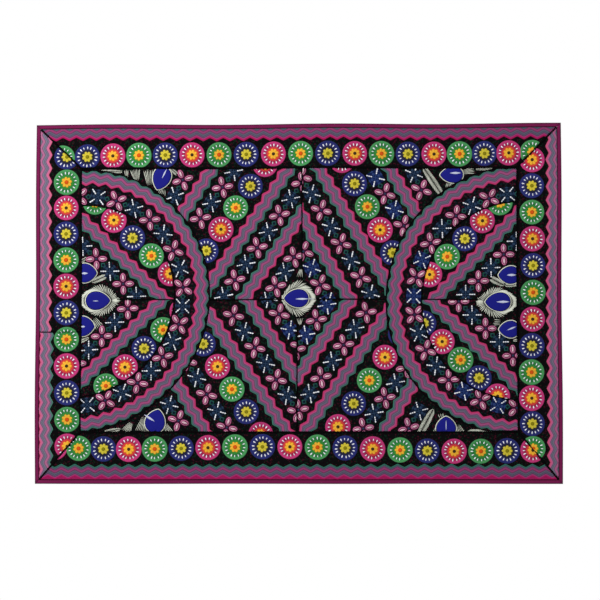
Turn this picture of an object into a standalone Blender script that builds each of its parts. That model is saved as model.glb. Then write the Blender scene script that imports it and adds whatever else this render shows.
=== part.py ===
"""Patchwork wall hanging of embroidered cloth, hung by its top edge.

The flat plan is drawn first, with x to the right and z up, from the middle of the top edge.
Each piece of cloth is cut from the plan as a thin slab, with its main embroidery raised on it.
Then every piece is bent by the same rule, hung(), into the uneven outline and the soft folds in
which the cloth hangs. The front faces -Y, and the back of the binding lies on the plane y = 0.
"""

import math

import bmesh
import bpy
from mathutils import Vector

# Driving dimensions, in metres
WIDTH = 1.500
HEIGHT = 1.0255
CLOTH = 0.0020
BINDING_CLOTH = 0.0010
BINDING_ROOM = 0.0005
BINDING_WIDTH = 0.0115
SEAM_GAP = 0.0004

# The field inside the border, and the seams that divide it
FIELD_LEFT = -0.621
FIELD_RIGHT = 0.623
FIELD_TOP = -0.125
FIELD_BOTTOM = -0.878
UPPER_SEAM_X = 0.009
LOWER_SEAM_X = -0.005
LEVEL_SEAM_Z = -0.500
LEFT_BORDER_SEAM_Z = -0.592

# The arches: centre, radius of the zigzag band's middle line, and how far the left one leans up.
# Near the field's top and bottom edges, where an arch rises more steeply than TAIL_RISE, it flattens
# so that it stays ARCH_TAIL clear of the edge.
ARCH_X = {"left": -0.629, "right": 0.632}
ARCH_RADIUS = {"left": 0.349, "right": 0.358}
ARCH_LEAN = {"left": 0.0105, "right": 0.0}
ARCH_Z = -0.505
ARCH_OUTER_SEAM = 0.0245
ARCH_INNER_SEAM = -0.0760
ARCH_TAIL = 0.0035
TAIL_RISE = 0.5
ARC_STEP_DEGREES = 6
ARC_OVERRUN_DEGREES = 96
ARC_START_DEGREES = -12
LEVEL_OVERRUN = 0.050

# Raised embroidery
BAND_WIDTH = 0.0325
ZIGZAG_DEPTH = 0.0092
ZIGZAG_LENGTH = 0.0382
BAND_OVERRUN = 1.25 * ZIGZAG_LENGTH
BAND_RISE = 0.0008
MEDALLION_RADIUS = 0.0363
MEDALLION_RISE = 0.0010
EYE_RISE = 0.0014
ROUND_SIDES = 10
SEAM_MARGIN = 0.0015
SMALLEST_MOTIF = 0.0001

# How the cloth hangs: the outline's unevenness, and folds that come forward from the wall
FLARE = 0.0028
EDGE_WAVE = 0.0009
EDGE_WAVE_LENGTH = 0.62
EDGE_WAVE_START = 0.55
TOP_TILT = 0.0026
TOP_WAVE = 0.0014
TOP_WAVE_LENGTH = 0.62
TOP_WAVE_START = 0.10
FOLD_DEPTH = 0.0046
FOLD_LENGTH = 0.60
FOLD_DRIFT = 0.9
FOLD_COLUMNS = 16
FOLD_ROWS = 8

# Depths of the cloth's two faces inside the binding
BACK_PLANE = -(BINDING_CLOTH + BINDING_ROOM)
FRONT_PLANE = BACK_PLANE - CLOTH
BINDING_DEPTH = CLOTH + 2 * (BINDING_ROOM + BINDING_CLOTH)
EDGE_TUCK = BINDING_DEPTH / 2 + SEAM_GAP
FOLD_BEND_STEPS = 4
MERGE = 0.00001
SMALLEST_EDGE = 0.00005
FLAT_ANGLE = math.radians(0.5)

LEFT = -WIDTH / 2
RIGHT = WIDTH / 2

# Columns: first middle x, z; last middle x, z; how many; bulge and skew of the spacing
BORDER_MEDALLIONS = {
    "border_top": (-0.679, -0.085, 0.663, -0.084, 19, 0.0107, 0.0211),
    "border_bottom": (-0.695, -0.925, 0.660, -0.929, 19, -0.0056, 0.0202),
    "border_right": (0.666, -0.105, 0.665, -0.924, 12, 0.0055, 0.0111),
    "border_left_upper": (-0.664, -0.092, -0.663, -0.917, 12, -0.0076, 0.0062),
    "border_left_lower": (-0.664, -0.092, -0.663, -0.917, 12, -0.0076, 0.0062),
}
FIELD_MEDALLIONS = {
    "quarter_upper_left": (-0.096, -0.115, -0.264, -0.360, 5),
    "quarter_upper_right": (0.123, -0.106, 0.268, -0.368, 5),
    "quarter_lower_left": (-0.272, -0.626, -0.108, -0.884, 5),
    "quarter_lower_right": (0.290, -0.599, 0.111, -0.863, 5),
    "sector_upper_left": (-0.581, -0.223, -0.367, -0.426, 5),
    "sector_lower_left": (-0.333, -0.533, -0.548, -0.746, 5),
    "sector_upper_right": (0.574, -0.226, 0.373, -0.429, 5),
    "sector_lower_right": (0.356, -0.568, 0.564, -0.776, 5),
}

# Columns: middle line's first end x, z; other end x, z
BORDER_BANDS = {
    "border_top": ((-0.760, -0.0305, 0.760, -0.0305),),
    "border_bottom": ((-0.760, -0.9905, 0.760, -0.9905),),
    "border_right": ((0.7190, 0.000, 0.7190, -HEIGHT),),
    "border_left_upper": ((-0.7190, 0.000, -0.7190, LEFT_BORDER_SEAM_Z),),
    "border_left_lower": ((-0.7190, LEFT_BORDER_SEAM_Z, -0.7190, -HEIGHT),),
}
FIELD_BANDS = {
    "quarter_upper_left": (
        (-0.028, -0.124, -0.286, -0.500),
        (0.009, -0.258, -0.157, -0.500),
        (-0.249, -0.124, -0.324, -0.240),
    ),
    "quarter_upper_right": (
        (0.057, -0.124, 0.281, -0.500),
        (0.009, -0.260, 0.149, -0.500),
        (0.260, -0.124, 0.330, -0.243),
    ),
    "quarter_lower_left": (
        (-0.281, -0.500, -0.030, -0.878),
        (-0.144, -0.500, -0.005, -0.718),
        (-0.336, -0.753, -0.262, -0.878),
    ),
    "quarter_lower_right": (
        (0.277, -0.500, 0.014, -0.878),
        (0.152, -0.500, -0.005, -0.727),
        (0.305, -0.776, 0.244, -0.878),
    ),
    "sector_upper_left": ((-0.621, -0.266, -0.381, -0.500),),
    "sector_lower_left": ((-0.393, -0.500, -0.621, -0.732),),
    "sector_upper_right": ((0.623, -0.257, 0.383, -0.500),),
    "sector_lower_right": ((0.378, -0.500, 0.623, -0.747),),
}

# Columns: middle x, z; half length, half height; turn in degrees
EYES = {
    "quarter_upper_left": ((-0.391, -0.156, 0.031, 0.025, 105.0), (-0.005, -0.498, 0.034, 0.025, 0.0)),
    "quarter_upper_right": ((0.432, -0.146, 0.028, 0.022, 0.0), (-0.005, -0.498, 0.034, 0.025, 0.0)),
    "quarter_lower_left": ((-0.410, -0.846, 0.031, 0.028, -20.0), (-0.005, -0.498, 0.034, 0.025, 0.0)),
    "quarter_lower_right": ((0.420, -0.863, 0.026, 0.026, 0.0), (-0.005, -0.498, 0.034, 0.025, 0.0)),
    "sector_upper_left": ((-0.571, -0.504, 0.037, 0.027, 0.0), (-0.605, -0.424, 0.029, 0.023, 0.0)),
    "sector_lower_left": ((-0.571, -0.504, 0.037, 0.027, 0.0), (-0.607, -0.578, 0.026, 0.022, 0.0)),
    "sector_upper_right": ((0.568, -0.504, 0.037, 0.027, 0.0), (0.600, -0.430, 0.029, 0.023, 0.0)),
    "sector_lower_right": ((0.568, -0.504, 0.037, 0.027, 0.0), (0.602, -0.581, 0.029, 0.023, 0.0)),
}

# Columns: colour of the cloth as red, green, blue; roughness
FINISHES = {
    "embroidered_cloth": (0.012, 0.011, 0.014, 0.92),
    "arch_cloth": (0.075, 0.030, 0.060, 0.88),
    "border_cloth": (0.030, 0.012, 0.026, 0.90),
    "binding_cloth": (0.270, 0.014, 0.115, 0.72),
}


def hung(x, z):
    """Where a point of the flat plan hangs: its new x, how far it comes forward, and its new z."""
    across = x / RIGHT
    down = -z / HEIGHT
    edge_wave = EDGE_WAVE * math.sin(2 * math.pi * (z / EDGE_WAVE_LENGTH + EDGE_WAVE_START))
    top_wave = TOP_WAVE * math.sin(2 * math.pi * (x / TOP_WAVE_LENGTH + TOP_WAVE_START))
    new_x = x + across * (FLARE * (2 * down - 1) + edge_wave)
    new_z = z + (1 - down) * (TOP_TILT * across + top_wave)
    fold = 0.5 + 0.5 * math.sin(2 * math.pi * (x / FOLD_LENGTH + FOLD_DRIFT * z))
    grown = down * down * (3 - 2 * down)
    return new_x, FOLD_DEPTH * grown * fold, new_z


def area(outline):
    """Area inside an outline, positive when its corners run anticlockwise."""
    doubled = 0.0
    for here, corner in enumerate(outline):
        following = outline[(here + 1) % len(outline)]
        doubled += corner.x * following.y - following.x * corner.y
    return doubled / 2


def anticlockwise(outline):
    return outline if area(outline) > 0 else outline[::-1]


def inward_of(corner, following):
    """Unit direction into an anticlockwise outline from one of its sides."""
    along = (following - corner).normalized()
    return Vector((-along.y, along.x))


def moved_inwards(outline, by):
    """An anticlockwise outline with each of its sides moved inwards by the same distance."""
    moved = []
    for here, corner in enumerate(outline):
        before = inward_of(outline[here - 1], corner)
        after = inward_of(corner, outline[(here + 1) % len(outline)])
        bisector = (before + after).normalized()
        moved.append(corner + bisector * (by / bisector.dot(after)))
    return moved


def cut_by_line(outline, point, inward):
    """The part of an outline that lies on the inward side of a line through a point."""
    kept = []
    for here, corner in enumerate(outline):
        following = outline[(here + 1) % len(outline)]
        depth = (corner - point).dot(inward)
        next_depth = (following - point).dot(inward)
        if depth >= 0:
            kept.append(corner)
        if depth * next_depth < 0:
            kept.append(corner.lerp(following, depth / (depth - next_depth)))
    return kept


def arch_radius(side, angle, offset):
    """Radius of a line that runs along an arch, offset from its band; it clears the field's edges."""
    lean = ARCH_LEAN[side] * math.sin(2 * angle)
    radius = ARCH_RADIUS[side] + lean + offset
    edge = FIELD_TOP - ARCH_Z if angle > 0 else ARCH_Z - FIELD_BOTTOM
    rise = abs(math.sin(angle))
    room = edge - ARCH_TAIL
    return min(radius, room / rise) if rise > TAIL_RISE else radius


def arch_point(side, radius, angle):
    """A point of an arch; the angle is 0 towards the middle of the field, and positive upwards."""
    towards_middle = 1 if side == "left" else -1
    return Vector(
        (ARCH_X[side] + towards_middle * radius * math.cos(angle), ARCH_Z + radius * math.sin(angle))
    )


def arc(side, offset, first_degrees, last_degrees):
    """Points along an arch at even angles."""
    points = []
    for degrees in range(first_degrees, last_degrees + 1, ARC_STEP_DEGREES):
        angle = math.radians(degrees)
        points.append(arch_point(side, arch_radius(side, angle, offset), angle))
    return points


def within_field(side, outline):
    """The part of an outline that lies inside the field's outer upright edge on one side."""
    if side == "left":
        return cut_by_line(outline, Vector((FIELD_LEFT, 0)), Vector((1, 0)))
    return cut_by_line(outline, Vector((FIELD_RIGHT, 0)), Vector((-1, 0)))


def above_or_below(level, outline):
    """The part of an outline that lies above, or below, the level seam."""
    up = 1 if level == "upper" else -1
    return cut_by_line(outline, Vector((0, LEVEL_SEAM_Z)), Vector((0, up)))


def past_level(level):
    """A height beyond the level seam, from which a piece is cut back to the seam."""
    return LEVEL_SEAM_Z - LEVEL_OVERRUN if level == "upper" else LEVEL_SEAM_Z + LEVEL_OVERRUN


def half_arc(side, level, offset):
    """An arch's line from below the level seam to past the field's edge, or its lower half."""
    if level == "upper":
        return arc(side, offset, ARC_START_DEGREES, ARC_OVERRUN_DEGREES)
    return arc(side, offset, -ARC_OVERRUN_DEGREES, -ARC_START_DEGREES)[::-1]


def quarter_outline(level, side):
    """A quarter of the field, from the middle seams out to the arch."""
    seam_x = UPPER_SEAM_X if level == "upper" else LOWER_SEAM_X
    edge_z = FIELD_TOP if level == "upper" else FIELD_BOTTOM
    beyond = LEFT if side == "left" else RIGHT
    outline = half_arc(side, level, ARCH_OUTER_SEAM)
    outline += [Vector((beyond, edge_z)), Vector((seam_x, edge_z)), Vector((seam_x, past_level(level)))]
    return anticlockwise(within_field(side, above_or_below(level, outline)))


def arch_outline(side):
    """The curved strip between an arch's two seams."""
    outer = arc(side, ARCH_OUTER_SEAM, -ARC_OVERRUN_DEGREES, ARC_OVERRUN_DEGREES)
    inner = arc(side, ARCH_INNER_SEAM, -ARC_OVERRUN_DEGREES, ARC_OVERRUN_DEGREES)
    return anticlockwise(within_field(side, outer + inner[::-1]))


def sector_outline(level, side):
    """Half of an arch's filling, above or below the level seam."""
    beyond = LEFT if side == "left" else RIGHT
    outline = half_arc(side, level, ARCH_INNER_SEAM) + [Vector((beyond, past_level(level)))]
    return anticlockwise(within_field(side, above_or_below(level, outline)))


def border_outlines(tuck):
    """The five border strips, mitred at the corners, that start so far in from the hanging's edge."""
    left = LEFT + tuck
    right = RIGHT - tuck
    top = -tuck
    bottom = tuck - HEIGHT
    seam = LEFT_BORDER_SEAM_Z
    corners = {
        "border_top": ((left, top), (right, top), (FIELD_RIGHT, FIELD_TOP), (FIELD_LEFT, FIELD_TOP)),
        "border_bottom": (
            (left, bottom),
            (right, bottom),
            (FIELD_RIGHT, FIELD_BOTTOM),
            (FIELD_LEFT, FIELD_BOTTOM),
        ),
        "border_right": (
            (FIELD_RIGHT, FIELD_BOTTOM),
            (right, bottom),
            (right, top),
            (FIELD_RIGHT, FIELD_TOP),
        ),
        "border_left_upper": ((left, seam), (FIELD_LEFT, seam), (FIELD_LEFT, FIELD_TOP), (left, top)),
        "border_left_lower": (
            (left, bottom),
            (FIELD_LEFT, FIELD_BOTTOM),
            (FIELD_LEFT, seam),
            (left, seam),
        ),
    }
    return {name: anticlockwise([Vector(c) for c in outline]) for name, outline in corners.items()}


def oval(middle_x, middle_z, half_length, half_height, turn):
    """An oval of few sides, turned by some degrees in the plan."""
    cosine = math.cos(math.radians(turn))
    sine = math.sin(math.radians(turn))
    points = []
    for number in range(ROUND_SIDES):
        angle = 2 * math.pi * (number + 0.5) / ROUND_SIDES
        length = half_length * math.cos(angle)
        height = half_height * math.sin(angle)
        points.append(
            Vector((middle_x + length * cosine - height * sine, middle_z + length * sine + height * cosine))
        )
    return points


def medallions(first_x, first_z, last_x, last_z, count, bulge=0.0, skew=0.0):
    """A row of round medallions, whose steps may grow and shrink a little along it.

    The share of the way is t + bulge * u + skew * u * (2t - 1), with u = 4t(1 - t).
    """
    first = Vector((first_x, first_z))
    last = Vector((last_x, last_z))
    row = []
    for number in range(count):
        t = number / (count - 1)
        hump = 4 * t * (1 - t)
        middle = first.lerp(last, t + bulge * hump + skew * hump * (2 * t - 1))
        row.append(oval(middle.x, middle.y, MEDALLION_RADIUS, MEDALLION_RADIUS, 0.0))
    return row


def zigzag_band(first_x, first_z, last_x, last_z):
    """A straight band whose two edges run in step as zigzags, drawn past both ends to be cut."""
    first = Vector((first_x, first_z))
    last = Vector((last_x, last_z))
    along = (last - first).normalized()
    aside = Vector((-along.y, along.x))
    teeth = round(2 * ((last - first).length + 2 * BAND_OVERRUN) / ZIGZAG_LENGTH)
    lower = []
    upper = []
    for tooth in range(teeth + 1):
        swing = ZIGZAG_DEPTH / 2 if tooth % 2 else -ZIGZAG_DEPTH / 2
        middle = first + along * (tooth * ZIGZAG_LENGTH / 2 - BAND_OVERRUN) + aside * swing
        lower.append(middle - aside * (BAND_WIDTH / 2))
        upper.append(middle + aside * (BAND_WIDTH / 2))
    return anticlockwise(lower + upper[::-1])


def arch_band(side):
    """The zigzag band that follows an arch."""
    step = ZIGZAG_LENGTH / 2 / ARCH_RADIUS[side]
    teeth = 2 * round(math.radians(ARC_OVERRUN_DEGREES) / step)
    outer = []
    inner = []
    for tooth in range(teeth + 1):
        angle = (tooth - teeth / 2 + 0.5) * step
        swing = ZIGZAG_DEPTH / 2 if tooth % 2 else -ZIGZAG_DEPTH / 2
        limit = arch_radius(side, angle, ARCH_OUTER_SEAM - SEAM_MARGIN)
        outer_radius = min(arch_radius(side, angle, swing + BAND_WIDTH / 2), limit)
        outer.append(arch_point(side, outer_radius, angle))
        inner.append(arch_point(side, arch_radius(side, angle, swing - BAND_WIDTH / 2), angle))
    return anticlockwise(outer + inner[::-1])


def slab(name, outline, back, front, collection):
    """A flat outline of the plan, filled, and as thick as from its back depth to its front depth."""
    curve = bpy.data.curves.new(name, "CURVE")
    curve.dimensions = "2D"
    curve.fill_mode = "BOTH"
    curve.extrude = abs(front - back) / 2
    spline = curve.splines.new("POLY")
    spline.points.add(len(outline) - 1)
    for point, corner in zip(spline.points, outline):
        point.co = (corner.x, corner.y, 0.0, 1.0)
    spline.use_cyclic_u = True
    drawn = bpy.data.objects.new(name + "_outline", curve)
    collection.objects.link(drawn)
    depsgraph = bpy.context.evaluated_depsgraph_get()
    mesh = bpy.data.meshes.new_from_object(drawn.evaluated_get(depsgraph))
    bpy.data.objects.remove(drawn)
    shape = bmesh.new()
    shape.from_mesh(mesh)
    bmesh.ops.remove_doubles(shape, verts=shape.verts, dist=MERGE)
    for vertex in shape.verts:
        plan_x, plan_z, depth = vertex.co
        vertex.co = (plan_x, (front + back) / 2 - depth, plan_z)
    bmesh.ops.recalc_face_normals(shape, faces=shape.faces)
    shape.to_mesh(mesh)
    shape.free()
    piece = bpy.data.objects.new(name, mesh)
    collection.objects.link(piece)
    return piece


def arch_cut(side, motif):
    """The line that touches an arch where a motif comes nearest to it, as a point and a direction."""
    centre = Vector((ARCH_X[side], ARCH_Z))
    towards_middle = 1 if side == "left" else -1

    def clearance(corner):
        spoke = corner - centre
        angle = math.atan2(spoke.y, towards_middle * spoke.x)
        return abs(spoke.length - arch_radius(side, angle, ARCH_OUTER_SEAM))

    spoke = min(motif, key=clearance) - centre
    angle = math.atan2(spoke.y, towards_middle * spoke.x)
    radius = arch_radius(side, angle, ARCH_OUTER_SEAM + 2 * SEAM_MARGIN)
    return centre + spoke.normalized() * radius, spoke.normalized()


def trimmed(motif, cuts):
    """What is left of a motif after all its cuts, or nothing where only a scrap is left."""
    for point, inward in cuts:
        motif = cut_by_line(motif, point, inward)
        if len(motif) < 3:
            return None
    return motif if abs(area(motif)) > SMALLEST_MOTIF else None


def raise_motifs(piece, motifs, rise, collection):
    """Joins thin plateaus of embroidery to the front of a piece of cloth."""
    if not motifs:
        return
    plateaus = bmesh.new()
    for number, motif in enumerate(motifs):
        plateau = slab(
            f"{piece.name}_motif_{number}", motif, FRONT_PLANE + CLOTH / 2, FRONT_PLANE - rise, collection
        )
        plateaus.from_mesh(plateau.data)
        bpy.data.objects.remove(plateau)
    mesh = bpy.data.meshes.new(piece.name + "_motifs")
    plateaus.to_mesh(mesh)
    plateaus.free()
    raised = bpy.data.objects.new(piece.name + "_motifs", mesh)
    collection.objects.link(raised)
    union = piece.modifiers.new("embroidery", "BOOLEAN")
    union.operation = "UNION"
    union.solver = "EXACT"
    union.object = raised
    depsgraph = bpy.context.evaluated_depsgraph_get()
    joined = bpy.data.meshes.new_from_object(piece.evaluated_get(depsgraph))
    piece.modifiers.clear()
    piece.data = joined
    bpy.data.objects.remove(raised)


def embroider(piece, cuts_for, bands, discs, eyes, collection):
    """Raises a piece's bands, medallions and eyes, each cut off at the seams.

    Neighbouring medallions may touch, so every other one is raised first, and the rest after.
    """
    steps = (
        (bands, BAND_RISE),
        (discs[::2], MEDALLION_RISE),
        (discs[1::2], MEDALLION_RISE),
        (eyes, EYE_RISE),
    )
    for motifs, rise in steps:
        kept = [trimmed(motif, cuts_for(motif)) for motif in motifs]
        raise_motifs(piece, [motif for motif in kept if motif], rise, collection)


def side_cuts(outline):
    """A cut along each side of a convex piece, set in from the seam."""
    cuts = []
    for here, corner in enumerate(outline):
        inward = inward_of(corner, outline[(here + 1) % len(outline)])
        cuts.append((corner + inward * SEAM_MARGIN, inward))
    return cuts


def quarter_cuts(level, side):
    """The straight cuts of a quarter: its field edge, its level seam and its upright seam."""
    up = 1 if level == "upper" else -1
    away = -1 if side == "left" else 1
    seam_x = UPPER_SEAM_X if level == "upper" else LOWER_SEAM_X
    edge_z = FIELD_TOP if level == "upper" else FIELD_BOTTOM
    return [
        (Vector((0, edge_z - up * SEAM_MARGIN)), Vector((0, -up))),
        (Vector((0, LEVEL_SEAM_Z + up * SEAM_MARGIN)), Vector((0, up))),
        (Vector((seam_x + away * SEAM_MARGIN, 0)), Vector((away, 0))),
    ]


def hang(piece):
    """Cuts a piece on a coarse net of lines and bends it as the whole cloth hangs."""
    shape = bmesh.new()
    shape.from_mesh(piece.data)
    cuts = []
    for column in range(1, FOLD_COLUMNS):
        cuts.append(((LEFT + WIDTH * column / FOLD_COLUMNS, 0, 0), (1, 0, 0)))
    for row in range(1, FOLD_ROWS):
        cuts.append(((0, 0, -HEIGHT * row / FOLD_ROWS), (0, 0, 1)))
    bmesh.ops.dissolve_limit(shape, angle_limit=FLAT_ANGLE, verts=shape.verts, edges=shape.edges)
    for point, direction in cuts:
        everything = shape.verts[:] + shape.edges[:] + shape.faces[:]
        bmesh.ops.bisect_plane(shape, geom=everything, dist=MERGE, plane_co=point, plane_no=direction)
    bmesh.ops.remove_doubles(shape, verts=shape.verts, dist=SMALLEST_EDGE)
    bmesh.ops.triangulate(shape, faces=shape.faces)
    for vertex in shape.verts:
        x, forward, z = hung(vertex.co.x, vertex.co.z)
        vertex.co = (x, vertex.co.y - forward, z)
    bmesh.ops.recalc_face_normals(shape, faces=shape.faces)
    shape.to_mesh(piece.data)
    shape.free()
    piece.data.name = piece.name


def binding_section():
    """The binding's section, folded round the edge: corners as depth behind the front, and reach."""
    bend = BINDING_DEPTH / 2
    section = [Vector((0.0, BINDING_WIDTH))]
    for step in range(FOLD_BEND_STEPS + 1):
        angle = math.pi * step / FOLD_BEND_STEPS
        section.append(Vector((bend * math.cos(angle) - bend, bend - bend * math.sin(angle))))
    section.append(Vector((-BINDING_DEPTH, BINDING_WIDTH)))
    inside_front = BINDING_CLOTH - BINDING_DEPTH
    section.append(Vector((inside_front, BINDING_WIDTH)))
    section.append(Vector((inside_front, bend)))
    section.append(Vector((inside_front / 2 - BINDING_CLOTH / 2, BINDING_CLOTH)))
    section.append(Vector((-BINDING_CLOTH, bend)))
    section.append(Vector((-BINDING_CLOTH, BINDING_WIDTH)))
    return section


def binding(name, corner, along, inward, length, collection):
    """A folded strip along one edge of the hanging, mitred at both ends."""
    piece = slab(name, anticlockwise(binding_section()), -length / 2, length / 2, collection)
    shape = bmesh.new()
    shape.from_mesh(piece.data)
    for vertex in shape.verts:
        depth, run, reach = vertex.co
        place = corner + along * (run + length / 2) + inward * reach
        vertex.co = (place.x, depth, place.y)
    far_corner = corner + along * length
    for end, outward in ((corner, along - inward), (far_corner, -along - inward)):
        gap = outward.normalized() * (SEAM_GAP / 2)
        everything = shape.verts[:] + shape.edges[:] + shape.faces[:]
        bmesh.ops.bisect_plane(
            shape,
            geom=everything,
            dist=MERGE,
            plane_co=(end.x + gap.x, 0, end.y + gap.y),
            plane_no=(outward.x, 0, outward.y),
            clear_inner=True,
        )
        rim = [edge for edge in shape.edges if edge.is_boundary]
        bmesh.ops.contextual_create(shape, geom=rim)
    bmesh.ops.recalc_face_normals(shape, faces=shape.faces)
    shape.to_mesh(piece.data)
    shape.free()
    return piece


def finish(piece, material):
    piece.data.materials.clear()
    piece.data.materials.append(material)
    for polygon in piece.data.polygons:
        polygon.material_index = 0


def cloth_material(name):
    red, green, blue, roughness = FINISHES[name]
    material = bpy.data.materials.new(name)
    material.use_nodes = True
    shader = material.node_tree.nodes["Principled BSDF"]
    shader.inputs["Base Color"].default_value = (red, green, blue, 1.0)
    shader.inputs["Roughness"].default_value = roughness
    shader.inputs["Metallic"].default_value = 0.0
    return material


def patch(name, outline, collection):
    """A piece of the patchwork, cut a hair inside the seams where it meets its neighbours."""
    return slab(name, moved_inwards(outline, SEAM_GAP / 2), BACK_PLANE, FRONT_PLANE, collection)


def eyes_of(name):
    return [oval(*row) for row in EYES.get(name, ())]


def make_quarters(collection):
    pieces = []
    for level in ("upper", "lower"):
        for side in ("left", "right"):
            name = f"quarter_{level}_{side}"
            piece = patch(name, quarter_outline(level, side), collection)
            straight = quarter_cuts(level, side)

            def cuts_for(motif, straight=straight, side=side):
                return straight + [arch_cut(side, motif)]

            bands = [zigzag_band(*row) for row in FIELD_BANDS[name]]
            discs = medallions(*FIELD_MEDALLIONS[name])
            embroider(piece, cuts_for, bands, discs, eyes_of(name), collection)
            pieces.append(piece)
    return pieces


def make_sectors(collection):
    pieces = []
    for level in ("upper", "lower"):
        for side in ("left", "right"):
            name = f"sector_{level}_{side}"
            outline = sector_outline(level, side)
            cuts = side_cuts(outline)
            piece = patch(name, outline, collection)
            bands = [zigzag_band(*row) for row in FIELD_BANDS[name]]
            discs = medallions(*FIELD_MEDALLIONS[name])
            embroider(piece, lambda motif, cuts=cuts: cuts, bands, discs, eyes_of(name), collection)
            pieces.append(piece)
    return pieces


def make_arches(collection):
    pieces = []
    for side, edge_x, inward_x in (("left", FIELD_LEFT, 1), ("right", FIELD_RIGHT, -1)):
        piece = patch(f"arch_{side}", arch_outline(side), collection)
        cuts = [(Vector((edge_x + inward_x * SEAM_MARGIN, 0)), Vector((inward_x, 0)))]
        band = cut_by_line(arch_band(side), *cuts[0])
        raise_motifs(piece, [band], BAND_RISE, collection)
        pieces.append(piece)
    return pieces


def make_border(collection):
    """The border strips; their embroidery stops where the binding covers them."""
    pieces = []
    uncovered = border_outlines(BINDING_WIDTH + SEAM_GAP - SEAM_MARGIN)
    for name, outline in border_outlines(EDGE_TUCK).items():
        cuts = side_cuts(uncovered[name])
        piece = patch(name, outline, collection)
        bands = [zigzag_band(*row) for row in BORDER_BANDS[name]]
        discs = medallions(*BORDER_MEDALLIONS[name])
        embroider(piece, lambda motif, cuts=cuts: cuts, bands, discs, (), collection)
        pieces.append(piece)
    return pieces


def make_bindings(collection):
    right = Vector((1, 0))
    down = Vector((0, -1))
    top_left = Vector((LEFT, 0))
    top_right = Vector((RIGHT, 0))
    bottom_left = Vector((LEFT, -HEIGHT))
    return [
        binding("binding_top", top_left, right, down, WIDTH, collection),
        binding("binding_bottom", bottom_left, right, -down, WIDTH, collection),
        binding("binding_left", top_left, down, right, HEIGHT, collection),
        binding("binding_right", top_right, down, -right, HEIGHT, collection),
    ]


def main():
    for leftover in list(bpy.data.objects):
        bpy.data.objects.remove(leftover)
    collection = bpy.data.collections.new("patchwork_wall_hanging")
    bpy.context.scene.collection.children.link(collection)
    families = (
        ("embroidered_cloth", make_quarters(collection) + make_sectors(collection)),
        ("arch_cloth", make_arches(collection)),
        ("border_cloth", make_border(collection)),
        ("binding_cloth", make_bindings(collection)),
    )
    for material_name, pieces in families:
        material = cloth_material(material_name)
        for piece in pieces:
            hang(piece)
            finish(piece, material)


main()
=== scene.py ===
"""Patchwork wall hanging of embroidered cloth, laid over its CAD in the same frame.

Everything is drawn on the flat plan first, with x to the right and z up from the middle of the top
edge, and with a height over the front of the cloth. It is cut off at the seams of its patch and then
hung by hung(), the rule by which the CAD hangs. The front faces -Y.
"""

import math

import bpy
import numpy as np
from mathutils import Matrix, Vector


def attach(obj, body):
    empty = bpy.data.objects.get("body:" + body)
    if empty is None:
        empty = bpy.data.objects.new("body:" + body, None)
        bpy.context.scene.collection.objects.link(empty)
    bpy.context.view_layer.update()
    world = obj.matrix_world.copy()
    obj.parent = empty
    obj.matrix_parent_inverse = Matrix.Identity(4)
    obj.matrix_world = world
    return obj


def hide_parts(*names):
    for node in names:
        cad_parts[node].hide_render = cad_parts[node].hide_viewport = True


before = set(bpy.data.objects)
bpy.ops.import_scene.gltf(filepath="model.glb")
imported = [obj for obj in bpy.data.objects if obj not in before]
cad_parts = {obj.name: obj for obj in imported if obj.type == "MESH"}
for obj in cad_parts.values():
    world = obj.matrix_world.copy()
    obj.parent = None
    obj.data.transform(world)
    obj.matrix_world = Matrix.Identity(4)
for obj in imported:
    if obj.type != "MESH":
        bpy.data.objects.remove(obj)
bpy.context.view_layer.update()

# The hanging, in metres: the same values as the CAD's
WIDTH = 1.500
HEIGHT = 1.0255
LEFT = -WIDTH / 2
RIGHT = WIDTH / 2
CLOTH = 0.0020
BINDING_CLOTH = 0.0010
BINDING_ROOM = 0.0005
BINDING_WIDTH = 0.0115
SEAM_GAP = 0.0004
FIELD_LEFT = -0.621
FIELD_RIGHT = 0.623
FIELD_TOP = -0.125
FIELD_BOTTOM = -0.878
UPPER_SEAM_X = 0.009
LOWER_SEAM_X = -0.005
LEVEL_SEAM_Z = -0.500
LEFT_BORDER_SEAM_Z = -0.592
ARCH_X = {"left": -0.629, "right": 0.632}
ARCH_RADIUS = {"left": 0.349, "right": 0.358}
ARCH_LEAN = {"left": 0.0105, "right": 0.0}
ARCH_Z = -0.505
ARCH_OUTER_SEAM = 0.0245
ARCH_INNER_SEAM = -0.0760
ARCH_TAIL = 0.0035
TAIL_RISE = 0.5
FLARE = 0.0028
EDGE_WAVE = 0.0009
EDGE_WAVE_LENGTH = 0.62
EDGE_WAVE_START = 0.55
TOP_TILT = 0.0026
TOP_WAVE = 0.0014
TOP_WAVE_LENGTH = 0.62
TOP_WAVE_START = 0.10
FOLD_DEPTH = 0.0046
FOLD_LENGTH = 0.60
FOLD_DRIFT = 0.9
BINDING_DEPTH = CLOTH + 2 * (BINDING_ROOM + BINDING_CLOTH)
FRONT_PLANE = -(BINDING_CLOTH + BINDING_ROOM + CLOTH)
EDGE_TUCK = BINDING_DEPTH / 2 + SEAM_GAP

# The cloth near its seams: how it dips, puckers, and doubles behind
SEAM_SINK = 0.0006
SEAM_SOFT = 0.0030
PUCKER = 0.00022
PUCKER_LENGTH = 0.0170
PUCKER_REACH = 0.0140
PUCKER_SLANT = 0.7
ALLOWANCE = 0.0008
ALLOWANCE_WIDTH = 0.0085
ALLOWANCE_FADE = 0.5

# Grids of the cloth: the size of their cells, and how their rows crowd near the seams
CELL = 0.0068
BINDING_CELL = 1.2 * CELL
LEAST_ROWS = 5
EVEN_PART = 0.45
EASED_PART = 0.55
BEND_POINTS = 9
LEG_POINTS = 4

# Rough lengths of the patches along their seams, which give the number of columns of their grids
QUARTER_RUN = 0.98
SECTOR_RUN = 0.50
ARCH_RUN = 1.10

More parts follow.
